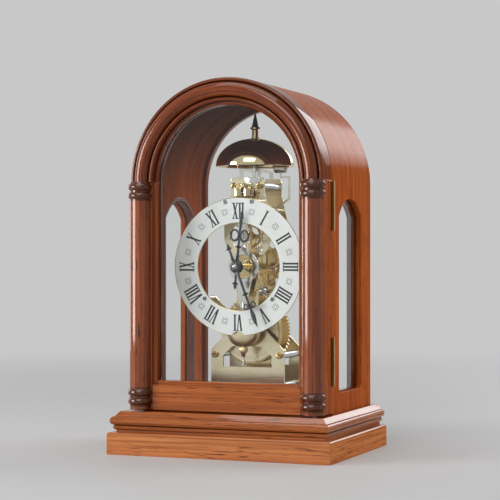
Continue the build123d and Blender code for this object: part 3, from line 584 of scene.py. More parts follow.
@dataclass(frozen=True)
class Enamel:
    """White painted dial metal under a thin clear coat.

    The mottle and grit are clouds to a metre and their detail. Roughness and coat are a plain part and one
    that the mottle adds.
    """

    name: str
    white: Colour
    cream: Colour
    mottle: Point = (38.0, 4.0)
    mottle_edges: Point = (0.35, 0.75)
    grit: Point = (2400.0, 2.0)
    grit_edges: Point = (0.7, 0.85)
    grit_share: float = 0.25
    grit_tone: float = 0.6
    grit_height: float = 0.006
    roughness: Point = (0.3, 0.12)
    coat: Point = (0.45, 0.2)
    coat_roughness: float = 0.08

    def make(self) -> bpy.types.Material:
        """Makes the material.

        Returns:
            The finished material.
        """
        shader = Shader(self.name)
        mottle, grit = shader.cloud(*self.mottle), shader.cloud(*self.grit)
        colour = shader.blend(mottle.between(*self.mottle_edges), self.white, self.cream)
        speck = grit.between(*self.grit_edges) * self.grit_share
        shader.feed(
            base_color=shader.blend(speck, colour, toned(self.cream, self.grit_tone)),
            roughness=self.roughness[0] + mottle * self.roughness[1],
            coat_weight=self.coat[0] + mottle * self.coat[1],
            coat_roughness=self.coat_roughness,
        )
        shader.relief(grit, self.grit_height * MM)
        return shader.material


@dataclass(frozen=True)
class Paint:
    """Thin satin paint or ink on metal, its wear and grit given as clouds to a metre and their detail."""

    name: str
    colour: Colour
    worn: Colour
    roughness: float
    coat: float = 0.0
    coat_share: Point = (0.8, 0.4)
    coat_roughness: float = 0.12
    wear: Point = (160.0, 3.0)
    wear_edges: Point = (0.45, 0.8)
    wear_share: float = 0.7
    grit: Point = (1900.0, 2.0)
    grit_rough: float = 0.14
    grit_height: float = 0.008

    def make(self) -> bpy.types.Material:
        """Makes the material.

        Returns:
            The finished material.
        """
        shader = Shader(self.name)
        wear, grit = shader.cloud(*self.wear), shader.cloud(*self.grit)
        least, more = self.coat_share
        share = wear.between(*self.wear_edges) * self.wear_share
        shader.feed(
            base_color=shader.blend(share, self.colour, self.worn),
            roughness=self.roughness + grit * self.grit_rough - self.grit_rough / 2,
            coat_weight=self.coat * (least + wear * more) if self.coat else 0.0,
            coat_roughness=self.coat_roughness,
        )
        shader.relief(grit, self.grit_height * MM)
        return shader.material


@dataclass(frozen=True)
class ClearGlass:
    """Window glass: it mirrors more at a glance and lets the lamps through."""

    name: str
    tint: Colour
    index: float = 1.5
    mirror: float = 0.02
    ripple: Point = (14.0, 2.0)
    ripple_height: float = 0.25

    def make(self) -> bpy.types.Material:
        """Makes the material.

        Returns:
            The finished material.
        """
        shader = Shader(self.name)
        ripple = {"Height": shader.cloud(*self.ripple), "Distance": self.ripple_height * MM}
        bend = shader.node("ShaderNodeBump", {}, ripple).outputs[0]
        clear = shader.node("ShaderNodeBsdfTransparent", {}, {"Color": self.tint})
        gloss = {"Color": (1.0, 1.0, 1.0), "Roughness": self.mirror, "Normal": bend}
        shine = shader.node("ShaderNodeBsdfGlossy", {}, gloss)
        glance = shader.node("ShaderNodeFresnel", {}, {"IOR": self.index})
        inside = shader.node("ShaderNodeNewGeometry", {}, {}).outputs["Backfacing"]
        share = Tone(shader, glance.outputs[0]) * (1 - Tone(shader, inside))
        shader.tree.nodes.remove(shader.surface)
        shader.show(share, clear.outputs[0], shine.outputs[0])
        return shader.material


Finish = Union[Lacquer, Metal, Enamel, Paint, ClearGlass]


@lru_cache(maxsize=None)
def material_of(finish: Finish) -> bpy.types.Material:
    """The material of a finish, made once."""
    return finish.make()


RED_LIGHT: Colour = (0.52, 0.14, 0.022)
# Within the radius given below, the case's inside is satin and carries painted shade that darkens towards
# the top.
CASE_WOOD = Lacquer(
    "case_wood", RED_LIGHT, (0.37, 0.076, 0.011), (0.15, 0.026, 0.006), Grain.ROUND_ARCH, 0.42, 0.16,
    satin_and_shade_r=86.8, side_gloss=0.2,
)
INNER_WOOD = Lacquer(
    "inner_wood", (0.24, 0.06, 0.018), (0.13, 0.028, 0.009), (0.055, 0.011, 0.004), Grain.UPRIGHT
)
# The woods below that have a reach for hollows carry painted shade in their grooves and recesses.
BASE_WOOD = Lacquer(
    "base_wood", (0.62, 0.245, 0.072), (0.49, 0.156, 0.044), (0.22, 0.054, 0.013), Grain.ROUND_BASE, 0.9,
    side_gloss=0.12, groove_shade_reach=5.0,
)
MOULDING_WOOD = Lacquer(
    "moulding_wood", (0.5, 0.165, 0.032), (0.34, 0.086, 0.015), (0.14, 0.03, 0.006), Grain.ROUND_BASE, 1.0,
    side_gloss=0.3, groove_shade_reach=5.0,
)
RAIL_WOOD = Lacquer(
    "rail_wood", (0.52, 0.165, 0.028), (0.36, 0.086, 0.011), (0.16, 0.032, 0.006), Grain.ACROSS
)
STILE_WOOD = Lacquer(
    "stile_wood", RED_LIGHT, (0.28, 0.058, 0.011), (0.12, 0.022, 0.005), Grain.UPRIGHT, side_gloss=0.15
)
ARCH_WOOD = Lacquer(
    "arch_wood", (0.35, 0.095, 0.02), (0.19, 0.038, 0.008), (0.055, 0.01, 0.004), Grain.ROUND_ARCH, 0.8,
    side_gloss=0.15, groove_shade_reach=6.0,
)
COLUMN_WOOD = Lacquer(
    "column_wood", (0.38, 0.105, 0.026), (0.23, 0.05, 0.012), (0.08, 0.015, 0.004), Grain.UPRIGHT, 1.0,
    side_gloss=0.1, groove_shade_reach=4.0, dark_bands=((41.2, 57.0), (219.2, 235.0)),
)
CLEAR_GLASS = ClearGlass("clear_glass", (0.975, 0.985, 0.98))
BRASS: Colour = (0.78, 0.6, 0.3)
BRASS_DULL: Colour = (0.6, 0.42, 0.17)
PALE_BRASS: Colour = (0.84, 0.74, 0.53)
PALE_DULL: Colour = (0.68, 0.56, 0.35)
PLATE_BRASS = Metal("plate_brass", PALE_BRASS, PALE_DULL, 0.12, 0.3, Lay.ACROSS)
POLISHED_BRASS = Metal(
    "polished_brass", (0.82, 0.68, 0.4), (0.66, 0.5, 0.25), 0.05, 0.16, mark_depth=0.0015
)
BELL_BRASS = Metal("bell_brass", (0.8, 0.68, 0.42), (0.66, 0.52, 0.28), 0.05, 0.12, mark_depth=0.001)
SOFT_BRASS = Metal("soft_brass", (0.84, 0.7, 0.42), (0.7, 0.53, 0.27), 0.2, 0.34)
BOB_BRASS = Metal("bob_brass", (0.84, 0.74, 0.5), (0.72, 0.6, 0.36), 0.26, 0.36, mark_depth=0.001)
CROWN_BRASS = Metal("crown_brass", (0.66, 0.54, 0.33), (0.44, 0.33, 0.18), 0.06, 0.14)
HINGE_BRASS = Metal("hinge_brass", (0.56, 0.4, 0.18), (0.38, 0.26, 0.11), 0.26, 0.42, Lay.UPRIGHT)
HINGE_LEAF = Metal("hinge_leaf", (0.4, 0.2, 0.07), (0.25, 0.12, 0.04), 0.3, 0.45)
RIM_GOLD = Metal("rim_gold", (0.85, 0.7, 0.4), (0.66, 0.48, 0.22), 0.12, 0.24)
TURNED_STEEL = Metal("turned_steel", (0.6, 0.6, 0.61), (0.4, 0.39, 0.39), 0.14, 0.3)
NICKEL = Metal("nickel", (0.8, 0.78, 0.74), (0.62, 0.6, 0.57), 0.1, 0.22, Lay.UPRIGHT)
DARK_STEEL = Metal("dark_steel", (0.2, 0.19, 0.185), (0.11, 0.1, 0.1), 0.22, 0.4)
SCREW_BRASS = Metal("screw_brass", (0.4, 0.27, 0.11), (0.2, 0.13, 0.06), 0.14, 0.3)
NUT_STEEL = Metal("nut_steel", (0.4, 0.39, 0.385), (0.24, 0.23, 0.23), 0.16, 0.32)
DIAL_WHITE = Enamel("dial_white", (0.83, 0.85, 0.85), (0.76, 0.77, 0.75))
HAND_BLACK = Paint("hand_black", (0.011, 0.011, 0.012), (0.035, 0.034, 0.034), 0.32, 0.3)
DIAL_INK = Paint("dial_ink", (0.006, 0.006, 0.008), (0.02, 0.02, 0.022), 0.6)
FAINT_INK = Paint("faint_ink", (0.2, 0.205, 0.21), (0.36, 0.37, 0.37), 0.5)
FINIAL_DARK = Paint("finial_dark", (0.02, 0.014, 0.011), (0.06, 0.04, 0.03), 0.25, 0.6)
HAMMER_PALE = Metal("hammer_pale", (0.82, 0.8, 0.74), (0.66, 0.63, 0.56), 0.16, 0.32)


class Axis(Enum):
    """Line that a turned piece is turned about."""

    UP = "z"
    BACK = "y"
    RIGHT = "x"


def ring_point(axis: Axis, origin: Place, radius: float, along: float, turn: float) -> Vector:
    """Point of a turned piece.

    Args:
        axis: line that the piece is turned about.
        origin: point of that line, in millimetres.
        radius: distance from the line.
        along: distance along the line from the origin.
        turn: angle round the line, in radians.

    Returns:
        The point in metres.
    """
    a, b = radius * math.cos(turn), radius * math.sin(turn)
    parts = {Axis.UP: (a, b, along), Axis.BACK: (a, along, b), Axis.RIGHT: (along, a, b)}[axis]
    return (Vector(origin) + Vector(parts)) * MM


def put(name: str, data: bpy.types.ID) -> Piece:
    """Puts a new object in the scene.

    Args:
        name: name of the object.
        data: the mesh, curve, lamp or camera that it shows.

    Returns:
        The object.
    """
    made = bpy.data.objects.new(name, data)
    bpy.context.scene.collection.objects.link(made)
    return made


def finish_mesh(name: str, mesh: bmesh.types.BMesh, crease: float = 32.0) -> Piece:
    """Turns edited geometry into an object with smooth faces and crisp edges.

    Args:
        name: name of the piece.
        mesh: its geometry, in metres; it is freed.
        crease: edges that bend by more degrees than this stay crisp.

    Returns:
        The new object.
    """
    bmesh.ops.remove_doubles(mesh, verts=mesh.verts, dist=1e-7)
    bmesh.ops.delete(mesh, geom=[edge for edge in mesh.edges if edge.is_wire], context="EDGES")
    bmesh.ops.recalc_face_normals(mesh, faces=mesh.faces)
    data = bpy.data.meshes.new(name)
    mesh.to_mesh(data)
    mesh.free()
    data.shade_smooth()
    data.set_sharp_from_angle(angle=math.radians(crease))
    return put(name, data)


def lathe(
    name: str,
    profile: Sequence[Point],
    origin: Place,
    axis: Axis,
    steps: int = 96,
    start: float = 0.0,
    sweep: float = FULL_TURN,
    closed: bool = False,
    ripple: Optional[Callable[[float, float], float]] = None,
) -> Piece:
    """Turns a profile about a line.

    Args:
        name: name of the piece.
        profile: points as radius and distance along the line, in millimetres.
        origin: point of the line that distances count from.
        axis: the line's direction.
        steps: facets round the sweep.
        start: angle at which the sweep starts, in degrees.
        sweep: angle of the sweep, in degrees.
        closed: True if the profile's last point joins its first.
        ripple: radius to use at a radius and an angle in radians, for knurled edges.

    Returns:
        The turned piece.
    """
    whole = abs(sweep) >= FULL_TURN
    mesh = bmesh.new()
    rows = []
    for step in range(steps if whole else steps + 1):
        turn = math.radians(start + sweep * step / steps)
        points = [(ripple(r, turn) if ripple else r, h) for r, h in profile]
        rows.append([mesh.verts.new(ring_point(axis, origin, r, h, turn)) for r, h in points])
    if whole:
        rows.append(rows[0])
    for one, two in zip(rows, rows[1:]):
        for i in range(len(profile) if closed else len(profile) - 1):
            j = (i + 1) % len(profile)
            mesh.faces.new((one[i], one[j], two[j], two[i]))
    if not whole:
        mesh.faces.new(rows[0])
        mesh.faces.new(list(reversed(rows[-1])))
    return finish_mesh(name, mesh)


def knurled(grip: float, depth: float, ridges: int) -> Callable[[float, float], float]:
    """Fine ridges for the edge of a turned piece.

    Args:
        grip: least radius that has the ridges.
        depth: their depth.
        ridges: how many there are round the piece.

    Returns:
        A ripple for the lathe.
    """

    def ripple(radius: float, turn: float) -> float:
        """Radius with the ridges on the grip alone."""
        return radius - depth * (0.5 + 0.5 * math.cos(ridges * turn)) if radius >= grip else radius

    return ripple


def arc(x: float, y: float, radius: float, start: float, end: float, steps: int) -> list[Point]:
    """Points round part of a circle, angles in degrees."""
    turns = [math.radians(start + (end - start) * i / steps) for i in range(steps + 1)]
    return [(x + radius * math.cos(t), y + radius * math.sin(t)) for t in turns]


def circle(x: float, y: float, radius: float, steps: int = 40) -> list[Point]:
    """Points round a whole circle."""
    return arc(x, y, radius, 0.0, FULL_TURN, steps)[:-1]


def dome(radius: float, height: float, steps: int) -> list[Point]:
    """Profile of a dome from its rim to its top."""
    turns = [math.pi / 2 * k / steps for k in range(steps + 1)]
    return [(radius * math.cos(t), height * math.sin(t)) for t in turns]


def oblong(left: float, right: float, low: float, high: float) -> list[Point]:
    """Corners of a rectangle."""
    return [(left, low), (right, low), (right, high), (left, high)]


def turned_points(points: Iterable[Point], at: Point, clockwise: float) -> list[Point]:
    """Points moved to a place and turned clockwise by a number of degrees."""
    c, s = math.cos(math.radians(clockwise)), math.sin(math.radians(clockwise))
    return [(at[0] + x * c + y * s, at[1] - x * s + y * c) for x, y in points]


def upright_matrix(y: float) -> Matrix:
    """Stands a flat drawing up at a depth in millimetres, facing the viewer."""
    return Matrix(((1, 0, 0, 0), (0, 0, -1, y * MM), (0, 1, 0, 0), (0, 0, 0, 1)))


def settle(name: str, rough: Piece, matrix: Matrix) -> Piece:
    """Makes a plain mesh piece of an object as it is shown, and drops the object.

    Args:
        name: name of the piece.
        rough: curve, or mesh with modifiers.
        matrix: where it goes.

    Returns:
        The mesh piece.
    """
    bpy.context.view_layer.update()
    shown = rough.evaluated_get(bpy.context.evaluated_depsgraph_get())
    data = bpy.data.meshes.new_from_object(shown)
    bpy.data.objects.remove(rough)
    mesh = bmesh.new()
    mesh.from_mesh(data)
    bpy.data.meshes.remove(data)
    bmesh.ops.transform(mesh, matrix=matrix, verts=mesh.verts)
    return finish_mesh(name, mesh)


def carve(piece: Piece, tool: Piece) -> Piece:
    """Cuts a tool's shape out of a piece, and drops the tool.

    Args:
        piece: what is cut.
        tool: the shape that goes.

    Returns:
        The cut piece.
    """
    cut = piece.modifiers.new("cut", "BOOLEAN")
    cut.operation = "DIFFERENCE"
    cut.object = tool
    made = settle(piece.name, piece, Matrix.Identity(4))
    bpy.data.objects.remove(tool)
    return made


def add_line(curve: bpy.types.Curve, kind: str, points: Sequence[Place]) -> bpy.types.Spline:
    """Adds a line to a curve.

    Args:
        curve: the curve.
        kind: Blender's name of the kind of line.
        points: its points, in millimetres.

    Returns:
        The line.
    """
    line = curve.splines.new(kind)
    line.points.add(len(points) - 1)
    for point, place in zip(line.points, points):
        point.co = (*[c * MM for c in place], 1.0)
    return line


def sheet(
    name: str, outlines: Sequence[Sequence[Point]], front: float, back: float, edge: float = 0.0
) -> Piece:
    """Flat plate that faces the viewer.

    Args:
        name: name of the piece.
        outlines: its outer edges and holes, in millimetres.
        front: depth of its front face.
        back: depth of its back face.
        edge: radius of its softened edges.

    Returns:
        The plate.
    """
    curve = bpy.data.curves.new(name, "CURVE")
    curve.dimensions = "2D"
    curve.fill_mode = "BOTH"
    for outline in outlines:
        line = add_line(curve, "POLY", [(x, z, 0.0) for x, z in outline])
        line.use_cyclic_u = True
    curve.extrude = ((back - front) / 2 - edge) * MM
    curve.bevel_depth = edge * MM
    curve.bevel_resolution = 1
    curve.offset = -edge * MM
    return settle(name, put(name + "_line", curve), upright_matrix((front + back) / 2))


def wire(name: str, points: Sequence[Place], radius: float) -> Piece:
    """Round wire along a smooth line.

    Args:
        name: name of the piece.
        points: points that the line bends towards, in millimetres.
        radius: radius of the wire.

    Returns:
        The wire.
    """
    curve = bpy.data.curves.new(name, "CURVE")
    curve.dimensions = "3D"
    line = add_line(curve, "NURBS", points)
    line.order_u = 4
    line.use_endpoint_u = True
    line.resolution_u = 8
    curve.bevel_depth = radius * MM
    curve.bevel_resolution = 3
    curve.use_fill_caps = True
    return settle(name, put(name + "_line", curve), Matrix.Identity(4))


def join(name: str, parts: Sequence[Piece]) -> Piece:
    """Makes one piece of several, each keeping its own faces and materials.

    Args:
        name: name of the piece.
        parts: what it is made of; they are dropped.

    Returns:
        The joined piece.
    """
    data = bpy.data.meshes.new(name)
    mesh = bmesh.new()
    for part in parts:
        first = len(data.materials)
        for material in part.data.materials:
            data.materials.append(material)
        before = len(mesh.faces)
        mesh.from_mesh(part.data)
        mesh.faces.ensure_lookup_table()
        for face in mesh.faces[before:]:
            face.material_index += first
        old = part.data
        bpy.data.objects.remove(part)
        bpy.data.meshes.remove(old)
    mesh.to_mesh(data)
    mesh.free()
    return put(name, data)


def paint(piece: Piece, finish: Finish) -> Piece:
    """Gives a piece one finish.

    Args:
        piece: the piece, new or of the model.
        finish: what its surface is.

    Returns:
        The same piece.
    """
    piece.data.materials.clear()
    piece.data.materials.append(material_of(finish))
    return piece


def hang(piece: Piece, body: str, slot: str, *replaced: str) -> None:
    """Hangs a new piece on its body.

    Args:
        piece: the finished piece.
        body: body that it moves with.
        slot: material slot of the record; not used.
        replaced: model nodes that it stands for.
    """
    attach(piece, body)
    if replaced:
        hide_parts(*replaced)
    LOG.info("%s rides on %s, %d faces", piece.name, body, len(piece.data.polygons))


def dress(node: str, finish: Finish, edge: float = 0.0) -> None:
    """Gives a node of the model its finish.

    Args:
        node: the node's name.
        finish: what its surface is.
        edge: radius of its softened edges in millimetres, or nought to leave them.
    """
    piece = paint(frame["nodes"][node], finish)
    if edge:
        weld = piece.modifiers.new("weld", "WELD")
        weld.merge_threshold = 2e-6
        bevel = piece.modifiers.new("soft_edge", "BEVEL")
        bevel.width = edge * MM
        bevel.segments = 2
        bevel.limit_method = "ANGLE"
        bevel.angle_limit = math.radians(40.0)
        bevel.use_clamp_overlap = True
        even = piece.modifiers.new("even_shading", "WEIGHTED_NORMAL")
        even.keep_sharp = False
    LOG.info("%s dressed in %s", node, finish.name)


def screw_head(
    name: str, at: Point, face: float, radius: float, height: float, slot_turn: float, towards: int = -1
) -> Piece:
    """Cheese-head screw with a cut slot.

    Args:
        name: name of the piece.
        at: its place as x and z, in millimetres.
        face: depth of the face that it sits on.
        radius: radius of its head.
        height: height of its head.
        slot_turn: angle of the slot, in degrees.
        towards: -1 if it looks to the front, 1 if to the back.

    Returns:
        The screw.
    """
    half_slot, rise, edge = radius * 0.13, height * 0.55, radius * 0.12
    profile = [(0.0, 0.0), (radius, 0.0), (radius, towards * rise), (0.0, towards * rise)]
    parts = [lathe(name + "_disc", profile, (at[0], face, at[1]), Axis.BACK, 40)]
    lean = math.degrees(math.asin(half_slot / radius))
    low, high = sorted((face + towards * rise, face + towards * height))
    for start in (0, 180):
        cheek = turned_points(arc(0, 0, radius, start + lean, start + 180 - lean, 20), at, slot_turn)
        parts.append(sheet(f"{name}_cheek{start}", [cheek], low, high, edge))
    return join(name, parts)


@dataclass
class Base:
    """Plinth and moulded block that the case stands on."""

    plinth_edge: float = 0.5
    moulding_edge: float = 0.3

    def build(self) -> None:
        """Dresses the two pieces of the base."""
        dress("plinth", BASE_WOOD, self.plinth_edge)
        dress("base_moulding", MOULDING_WOOD, self.moulding_edge)


@dataclass
class Case:
    """Bent shell with its windows, the lip at the back and the movement's seat."""

    shell_edge: float = 0.7
    small_edge: float = 0.4

    def build(self) -> None:
        """Dresses the fixed woodwork and its panes."""
        dress("case_shell", CASE_WOOD, self.shell_edge)
        dress("back_lip", ARCH_WOOD, self.small_edge)
        dress("side_beads", INNER_WOOD, self.small_edge)
        dress("side_panes", CLEAR_GLASS)
        dress("movement_seat", INNER_WOOD, self.small_edge)


@dataclass
class Door:
    """Glazed door: stiles, rail, moulded arch, half round columns and hinges."""

    outer_r: float = 88.3
    inner_r: float = 68.4
    stop_w: float = 3.1
    stop_front: float = -53.0
    glass_front: float = -48.0
    front: float = -57.0
    back: float = -34.1
    low_z: float = 38.0
    spring_z: float = 235.3
    roll_r: float = 6.2
    roll_inset: float = 9.9
    bead_r: float = 1.7
    arch_soft: float = 0.8
    column_x: float = 79.5
    column_r: float = 9.15
    column_soft: float = 0.5
    ring_r: float = 3.6
    ring_proud: float = 1.9
    ring_z: tuple[float, ...] = (45.3, 52.9, 223.3, 230.9)
    hinge_x: float = 90.2
    hinge_y: float = -33.9
    hinge_z: tuple[float, float] = (81.6, 213.3)
    hinge_l: float = 41.5
    knuckle_r: float = 0.8
    knuckle_bore: float = 0.55
    knuckle_soft: float = 0.15
    leaf_x: tuple[float, float] = (-3.4, -0.7)
    leaf_t: float = 0.14
    case_leaf_y: float = 0.05
    door_leaf_y: float = -0.19
    pin_r: float = 0.5
    edge: float = 0.6

    def arch(self) -> Piece:
        """Half ring over the columns: two beads with a broad roll between them.

        Returns:
            The arch.
        """
        soft, stop_r = self.arch_soft, self.inner_r - self.stop_w
        profile = [
            (self.outer_r, self.back - soft),
            *arc(self.outer_r - self.bead_r, self.front, self.bead_r, 0, -172, 10),
            *arc(self.outer_r - self.roll_inset, self.front, self.roll_r, -6, -174, 22),
            *arc(self.inner_r + self.bead_r, self.front, self.bead_r, -8, -180, 10),
            (self.inner_r, self.stop_front),
            (stop_r + soft, self.stop_front),
            (stop_r, self.stop_front + soft),
            (stop_r, self.glass_front),
            (self.inner_r, self.glass_front),
            (self.inner_r, self.back),
            (self.outer_r - soft, self.back),
        ]
        return lathe("arch_moulding", profile, (0, 0, self.spring_z), Axis.BACK, 120, 0, 180, True)

    def column(self, side: int) -> Piece:
        """Half round column with a pair of rings at its foot and at its head.

        Args:
            side: -1 for the left column, 1 for the right.

        Returns:
            The column.
        """
        middle = self.column_r + self.ring_proud - self.ring_r
        half = math.degrees(math.acos((self.column_r - middle) / self.ring_r)) - 4.0
        r, soft = self.column_r, self.column_soft
        profile = [(0.0, self.low_z), (r - soft, self.low_z), (r, self.low_z + soft)]
        for z in self.ring_z:
            profile += arc(middle, z, self.ring_r, -half, half, 14)
        profile += [(r, self.spring_z), (0.0, self.spring_z)]
        place = (side * self.column_x, self.front, 0.0)
        return lathe(f"column{side}", profile, place, Axis.UP, 48, 180, 180)

    def knuckles(self, name: str, thirds: Sequence[int], with_pin: bool) -> Piece:
        """Slim knuckles of both hinges that belong to one side.

        Args:
            name: name of the piece.
            thirds: which thirds of a hinge are knuckles: -1 low, 0 middle, 1 high.
            with_pin: True if this side carries the pins.

        Returns:
            The knuckles, each with the edge of its leaf.
        """
        x, y, r = self.hinge_x, self.hinge_y, self.knuckle_r
        bore, soft, half = self.knuckle_bore, self.knuckle_soft, self.hinge_l / 6 - self.knuckle_soft
        barrel = [(bore, -half), (r - soft, -half), (r, -half + soft), (r, half - soft)]
        barrel += [(r - soft, half), (bore, half)]
        end = self.hinge_l / 2
        pin = [(0.0, -end - 0.7), (self.pin_r - 0.1, -end - 0.5), (self.pin_r, -end)]
        pin += [(radius, -z) for radius, z in reversed(pin)]
        front = y + (self.case_leaf_y if with_pin else self.door_leaf_y)
        parts = []
        for n, middle in enumerate(self.hinge_z):
            for third in thirds:
                z = middle + third * self.hinge_l / 3
                turned = lathe(f"{name}{n}{third}", barrel, (x, y, z), Axis.UP, 24, closed=True)
                parts.append(paint(turned, HINGE_BRASS))
                outline = oblong(x + self.leaf_x[0], x + self.leaf_x[1], z - half, z + half)
                leaf = sheet(f"{name}_leaf{n}{third}", [outline], front, front + self.leaf_t)
                parts.append(paint(leaf, HINGE_LEAF))
            if with_pin:
                turned = lathe(f"{name}_pin{n}", pin, (x, y, middle), Axis.UP, 20)
                parts.append(paint(turned, HINGE_BRASS))
        return join(name, parts)

    def build(self) -> None:
        """Builds the mouldings and hinges and dresses the rest of the door."""
        hang(paint(self.arch(), ARCH_WOOD), "door", "lacquered_wood", "door_arch")
        pair = join("door_columns", [paint(self.column(side), COLUMN_WOOD) for side in SIDES])
        hang(pair, "door", "dark_wood", "columns")
        dress("door_stile_left", STILE_WOOD, self.edge)
        dress("door_stile_right", STILE_WOOD, self.edge)
        dress("door_rail", RAIL_WOOD, self.edge)
        dress("door_bead", INNER_WOOD, self.edge / 2)
        dress("door_glass", CLEAR_GLASS)
        hang(self.knuckles("case_knuckles", (-1, 1), True), "case", "brass", "hinge_leaves_case")
        hang(self.knuckles("door_knuckles", (0,), False), "door", "brass", "hinge_leaves_door")


class Letter(Enum):
    """Capital that a numeral is made of, with its width in millimetres."""

    I = 2.75
    V = 6.0
    X = 5.9


@dataclass
class Dial:
    """Chapter ring with its numerals, half-hour marks, rims and screws."""

    centre_z: float = 161.8
    outer_r: float = 60.0
    inner_r: float = 38.4
    front: float = -27.5
    back: float = -26.0
    numeral_low_r: float = 41.6
    numeral_high_r: float = 55.6
    thick: float = 1.55
    thin: float = 0.85
    serif: float = 0.7
    broad_serif: float = 2.7
    ink: float = 0.07
    notch_half: float = 5.56
    mark_r: float = 49.0
    rim_r: float = 0.36
    screw_r: float = 1.75
    screw_h: float = 0.9
    posts: tuple[Point, ...] = ((-12.5, 218.2), (12.5, 218.2), (-31.6, 133.9), (31.6, 133.9))

    def stroke(self, start: Point, end: Point, width: float) -> list[Point]:
        """Slanted stroke whose ends lie level.

        Args:
            start: middle of its lower end.
            end: middle of its upper end.
            width: its width across the numeral.

        Returns:
            Its corners.
        """
        half, (x1, y1), (x2, y2) = width / 2, start, end
        return [(x1 - half, y1), (x1 + half, y1), (x2 + half, y2), (x2 - half, y2)]

    def letter(self, kind: Letter, height: float) -> list[list[Point]]:
        """One capital, from the lower left corner of its box.

        Args:
            kind: which capital.
            height: its height.

        Returns:
            Its strokes and serifs.
        """
        wide, broad, top = kind.value, self.broad_serif, height - self.serif
        if kind is Letter.I:
            bars = [(-0.05, wide + 0.05, 0.0), (-0.05, wide + 0.05, top)]
            strokes = [self.stroke((wide / 2, 0), (wide / 2, height), self.thick)]
        elif kind is Letter.V:
            foot = wide / 2 + 0.25
            strokes = [
                self.stroke((foot, 0), (broad / 2, height), self.thick),
                self.stroke((foot + 0.3, 0), (wide - 1.0, height), self.thin),
            ]
            bars = [(0.1, broad, top), (wide - 2.1, wide - 0.1, top)]
        else:
            strokes = [
                self.stroke((wide - broad / 2, 0), (broad / 2, height), self.thick),
                self.stroke((1.05, 0), (wide - 1.05, height), self.thin),
            ]
            bars = [(0.1, 2.2, 0.0), (wide - broad, wide - 0.1, 0.0)]
            bars += [(0.1, broad, top), (wide - 2.2, wide - 0.1, top)]
        return strokes + [oblong(left, right, low, low + self.serif) for left, right, low in bars]

    def numeral(self, letters: Sequence[Letter]) -> list[list[Point]]:
        """One numeral about the middle of its foot.

        Args:
            letters: its capitals, from the left.

        Returns:
            Its strokes.
        """
        height = self.numeral_high_r - self.numeral_low_r
        x = -sum(k.value for k in letters) / 2
        strokes = []
        for kind in letters:
            strokes += [[(px + x, py) for px, py in s] for s in self.letter(kind, height)]
            x += kind.value
        return strokes

    def placed(self, shapes: Sequence[Sequence[Point]], radius: float, turn: float) -> list[list[Point]]:
        """Shapes moved out from the middle of the ring and turned round it.

        Args:
            shapes: their outlines.
            radius: how far they move.
            turn: degrees clockwise from twelve.

        Returns:
            The placed outlines.
        """
        middle = (0, self.centre_z)
        return [turned_points([(x, y + radius) for x, y in shape], middle, turn) for shape in shapes]

    def print_on(self, name: str, outlines: Sequence[Sequence[Point]]) -> Piece:
        """Thin raised print on the ring's face.

        Args:
            name: name of the piece.
            outlines: outlines of its shapes, each of which becomes a closed form.

        Returns:
            The print.
        """
        mesh = bmesh.new()
        for outline in outlines:
            face = [mesh.verts.new((x * MM, (self.front - self.ink) * MM, z * MM)) for x, z in outline]
            foot = [mesh.verts.new((x * MM, (self.front + self.ink) * MM, z * MM)) for x, z in outline]
            mesh.faces.new(face)
            mesh.faces.new(list(reversed(foot)))
            for k in range(len(outline)):
                n = (k + 1) % len(outline)
                mesh.faces.new((face[n], face[k], foot[k], foot[n]))
        return finish_mesh(name, mesh)

    def numerals(self) -> Piece:
        """The twelve hours, feet to the middle, as raised ink.

        Returns:
            The numerals.
        """
        i, v, x = Letter.I, Letter.V, Letter.X
        hours = [
            (x, i, i), (i,), (i, i), (i, i, i), (i, i, i, i), (v,),
            (v, i), (v, i, i), (v, i, i, i), (i, x), (x,), (x, i),
        ]
        strokes = []
        for hour, letters in enumerate(hours):
            strokes += self.placed(self.numeral(letters), self.numeral_low_r, 30.0 * hour)
        return self.print_on("dial_numerals", strokes)

    def half_hours(self) -> Piece:
        """Faint mark between the hours: an open ring with eight small leaves round it.

        Returns:
            The marks.
        """
        shapes = [arc(0, 0, 1.8, 2, 358, 14) + arc(0, 0, 1.4, 358, 2, 14)]
        for lean in range(0, 360, 45):
            tip = 3.9 if lean % 90 else 3.2
            shapes.append(turned_points([(0.0, 1.9), (0.5, 2.6), (0.0, tip), (-0.5, 2.6)], (0, 0), lean))
        outlines = []
        for hour in range(12):
            outlines += self.placed(shapes, self.mark_r, 30.0 * hour + 15.0)
        return self.print_on("half_hour_marks", outlines)

    def rims(self) -> Piece:
        """Pale gold edges of the ring, the outer one open at the notch.

        Returns:
            Both rims.
        """
        parts = []
        for radius, start, sweep in (
            (self.outer_r - 0.1, -90 + self.notch_half, FULL_TURN - 2 * self.notch_half),
            (self.inner_r + 0.1, -90.0, FULL_TURN),
        ):
            section = circle(radius, (self.front + self.back) / 2 - 0.45, self.rim_r, 10)
            place = (0, 0, self.centre_z)
            parts.append(lathe(f"rim{radius:.0f}", section, place, Axis.BACK, 160, start, sweep, True))
        return join("dial_rims", [paint(p, RIM_GOLD) for p in parts])

    def build(self) -> None:
        """Dresses the ring and puts its print, rims and screws on it."""
        dress("chapter_ring", DIAL_WHITE, 0.25)
        hang(paint(self.numerals(), DIAL_INK), "case", "hand_black")
        hang(paint(self.half_hours(), FAINT_INK), "case", "dial_white")
        hang(self.rims(), "case", "brass")
        heads = [
            screw_head(f"dial_screw{n}", at, self.front, self.screw_r, self.screw_h, 30 + 50 * n)
            for n, at in enumerate(self.posts)
        ]
        hang(join("dial_screws", [paint(head, DARK_STEEL) for head in heads]), "case", "steel")
        dress("dial_posts", TURNED_STEEL)
        dress("dial_bracket", POLISHED_BRASS, 0.2)


